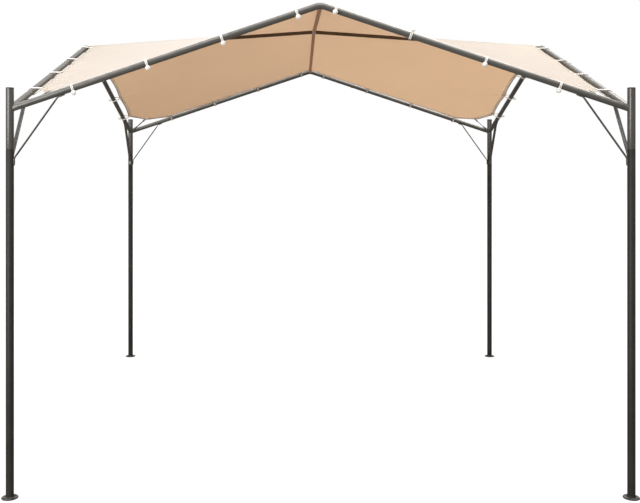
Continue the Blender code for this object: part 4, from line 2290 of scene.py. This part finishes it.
    def hook_shape(self) -> Shape:
        """Shapes the screw eye.

        Returns:
            A straight shank with a small collar, and a ring of wire.
        """
        centre = self.hook_centre()
        way = Vector((-1, 1, 0)).normalized()
        root = centre - way * (self.hook_shank + self.hook_radius + self.hook_sink)
        tip = centre - way * (self.hook_radius - self.hook_wire / 2)
        shank = cord_shape([root.lerp(tip, i / 6) for i in range(7)], self.hook_wire, 14)
        circle = []
        for i in range(self.hook_steps + 1):
            turn = math.tau * (i % self.hook_steps) / self.hook_steps
            circle.append(centre + (way * math.cos(turn) + UP * math.sin(turn)) * self.hook_radius)
        collar = lathe(
            [
                (0, 0), (self.hook_wire + 0.0025, 0), (self.hook_wire + 0.0025, 0.0012),
                (self.hook_wire + 0.0010, 0.0028), (0, 0.0028),
            ],
            20,
        )
        seat = frame_of(way, UP, root + way * self.hook_sink)
        moved(collar, seat)
        return merged([shank, collar, cord_shape(circle, self.hook_wire, 14, True)])

    def corner_shapes(self) -> list[Shape]:
        """The tie from the front right corner's eyelet to the screw eye on its post.

        Returns:
            The loop of cord, and a lashing round it near each end.
        """
        corner, inward = self.roof.tie_nodes[len(self.roof.ties)]
        eye = self.roof.hang(corner + inward * self.roof.eyelet_inset)
        centre = self.hook_centre()
        away = (eye - centre).normalized()
        wire = centre + away * self.hook_radius
        side = Vector((1, 1, 0)).normalized()
        over = side.cross(away)
        length = (eye - wire).length
        wide = self.hook_wire + self.corner_cord + self.tie_play
        slim = self.corner_cord + self.tie_play
        mouth = self.tie_mouth
        path = [
            wire + (side * math.sin(turn) - away * math.cos(turn)) * wide
            for turn in (math.radians(-90 + 180 * i / 8) for i in range(9))
        ]

        def strand(place: float, sign: int) -> Vector:
            """Follows one strand, which twists a quarter turn on its way.

            Args:
                place: How far along the tie, from 0 to 1.
                sign: Which of the two strands, 1 or -1.

            Returns:
                The point of its axis.
            """
            run = place * length
            near = share_of(run, *self.near_fork)
            far = share_of(length - run, *self.far_fork)
            apart = slim + (wide - slim) * (1 - near) + (mouth - slim) * (1 - far)
            twist = math.pi / 2 * place
            out = side * math.cos(twist) + over * math.sin(twist)
            return wire.lerp(eye, place) + out * (sign * apart)

        steps = self.tie_steps
        path += [strand(i / steps, 1) for i in range(1, steps)]
        path += [
            eye + (away * math.cos(turn) + over * math.sin(turn)) * mouth
            for turn in (math.radians(90 - 180 * i / 8) for i in range(9))
        ]
        path += [strand(i / steps, -1) for i in range(steps - 1, 0, -1)]
        path.append(path[0])
        shapes = [cord_shape(path, self.corner_cord, 10, True)]
        near_end, far_end = self.lashing_insets
        per_turn, middle = self.lashing_steps, self.lashing_turns / 2
        for place in (near_end / length, 1 - far_end / length):
            twist = math.pi / 2 * place
            broad = side * math.cos(twist) + over * math.sin(twist)
            flat = away.cross(broad)
            turns = []
            for i in range(self.lashing_turns * per_turn + 1):
                turn = math.tau * i / per_turn
                along = away * ((i / per_turn - middle) * 2 * self.lashing)
                round_pair = broad * math.cos(turn) * (2 * self.corner_cord + self.lashing)
                round_pair += flat * math.sin(turn) * (self.corner_cord + self.lashing)
                turns.append(wire.lerp(eye, place) + along + round_pair)
            shapes.append(cord_shape(turns, self.lashing, 8))
        return shapes

    def build(self) -> list[Piece]:
        """Builds each side's bungees and the corner ties.

        Returns:
            The pieces: balls and cords for each side, and a tie and a hook for each corner.
        """
        centres = self.roof.eyelet_centres()[: len(self.roof.ties)]
        cords = [strand for centre in centres for strand in self.strand_shapes(centre)]
        made = []
        for side in Side:
            balls = []
            for i, centre in enumerate(centres):
                bearing = self.other_bearing + 8 * math.sin(2.3 * i + side.value)
                if side is Side.FRONT:
                    bearing = self.front_bearings[i]
                balls.append(moved(self.seated_ball(centre, bearing), side.turn))
            name = "bungee_balls_" + side.label
            made.append(place_piece(name, merged(balls), BALL, (), 60.0))
        corners = CORNERS[1:] + CORNERS[:1]
        made += set_out(merged(cords), "bungee_cords_", LABELS, [CORD], None, 60.0)
        tie = merged(self.corner_shapes())
        made += set_out(tie, "corner_tie_", corners, [CORNER_CORD], None, 60.0)
        made += set_out(self.hook_shape(), "corner_hook_", corners, [STEEL], None, 60.0)
        return made


# Studio


@dataclass(frozen=True)
class SoftBox:
    """One soft light: where it hangs, what it points at, its width and height, and its power."""

    name: str
    place: Point
    target: Point
    size: tuple[float, float]
    watts: float
    colour: str = "FFFFFF"

    def hang(self) -> None:
        """Hangs the light in the studio."""
        data = bpy.data.lights.new(self.name, "AREA")
        data.shape = "RECTANGLE"
        data.size, data.size_y = self.size
        data.energy = self.watts
        data.color = linear(self.colour)[:3]
        light = bpy.data.objects.new(self.name, data)
        light.location = self.place
        aim = Vector(self.target) - Vector(self.place)
        light.rotation_euler = aim.to_track_quat("-Z", "Y").to_euler()
        bpy.context.scene.collection.objects.link(light)


@dataclass(frozen=True)
class Studio:
    """The pale floor, the soft lights and the camera."""

    camera_place: Point = (-0.121, -5.60, 1.617)
    lens: float = 47.78
    sensor: float = 36.0
    shift_x: float = 0.0382
    shift_y: float = -0.1386
    floor_size: float = 60.0
    floor_drop: float = 0.0005
    ground_glow: str = "9C968D"
    horizon_glow: str = "9A9C9D"
    sky_glow: str = "FFFFFF"
    sky_strength: float = 1.10
    lights: tuple[SoftBox, ...] = (
        SoftBox("wide_softbox", (-4.3, -6.5, 2.7), (0, -1.5, 2.9), (4.7, 3.6), 410),
        SoftBox("overhead_softbox", (2.8, 2.4, 7.5), (0, 0, 2.0), (4.0, 4.0), 365, "FFFAF0"),
        SoftBox("front_softbox", (0.8, -5.5, 9.5), (0, -1.0, 2.2), (6.0, 4.0), 380),
    )

    def build_floor(self) -> None:
        """Lays the seamless floor."""
        shape = bmesh.new()
        bmesh.ops.create_grid(shape, x_segments=1, y_segments=1, size=self.floor_size / 2)
        moved(shape, Matrix.Translation(UP * -self.floor_drop))
        floor = as_object("studio_floor", shape)
        floor.data.materials.append(LitFloor().material())
        floor.visible_diffuse = False
        floor.visible_glossy = False
        floor.visible_transmission = False

    def build_world(self) -> None:
        """Sets the white backdrop, and the soft light from all round: most of it from above."""
        world = bpy.data.worlds.new("studio_surround")
        world.use_nodes = True
        tree = world.node_tree
        tree.nodes.clear()
        way = add_node(tree, "TexCoord").outputs["Generated"]
        height = add_node(tree, "SeparateXYZ", links={"Vector": way}).outputs["Z"]
        share = add_node(tree, "MapRange", {"From Min": -1.0, "From Max": 1.0}, {"Value": height})
        stops = (
            (0.0, self.ground_glow), (0.46, self.ground_glow), (0.52, self.horizon_glow),
            (0.75, self.sky_glow),
        )
        around = add_node(
            tree, "Background", {"Strength": self.sky_strength},
            {"Color": add_node(tree, "ValToRGB", links={"Fac": share}, stops=stops)},
        )
        backdrop = add_node(tree, "Background", {"Color": linear("FFFFFF"), "Strength": 1.0})
        seen = add_node(tree, "LightPath").outputs["Is Camera Ray"]
        mixed = add_node(tree, "MixShader", links={0: seen, 1: around, 2: backdrop})
        add_node(tree, "OutputWorld", links={"Surface": mixed})
        bpy.context.scene.world = world

    def place_camera(self) -> None:
        """Stands the camera level and square on to the front."""
        data = bpy.data.cameras.new("photo_camera")
        data.lens = self.lens
        data.sensor_width = self.sensor
        data.sensor_fit = "HORIZONTAL"
        data.shift_x = self.shift_x
        data.shift_y = self.shift_y
        data.clip_end = 200
        camera = bpy.data.objects.new("photo_camera", data)
        camera.location = self.camera_place
        camera.rotation_euler = (math.pi / 2, 0, 0)
        bpy.context.scene.collection.objects.link(camera)
        bpy.context.scene.camera = camera
        bpy.context.scene.view_settings.view_transform = "Standard"

    def build(self) -> None:
        """Builds the whole studio."""
        self.build_floor()
        self.build_world()
        for light in self.lights:
            light.hang()
        self.place_camera()


def main() -> None:
    """Builds the tent and its studio, in order, and logs how many pieces and solids there are."""
    logging.basicConfig(level=logging.INFO, format="%(name)s: %(message)s")
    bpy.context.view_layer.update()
    sizes = TentSizes()
    braces = Braces(sizes)
    roof = RoofCloth(sizes)
    pieces = []
    pieces += Post(sizes).build()
    pieces += GableTubes(sizes).build()
    pieces += braces.build()
    pieces += Fixings(sizes, braces).build()
    pieces.append(Hub(sizes).build())
    pieces += roof.build()
    pieces += Bungees(sizes, roof).build()
    Studio().build()
    LOG.info("%d pieces on %d solids", len(pieces), len(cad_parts))


if __name__ == "__main__":
    main()
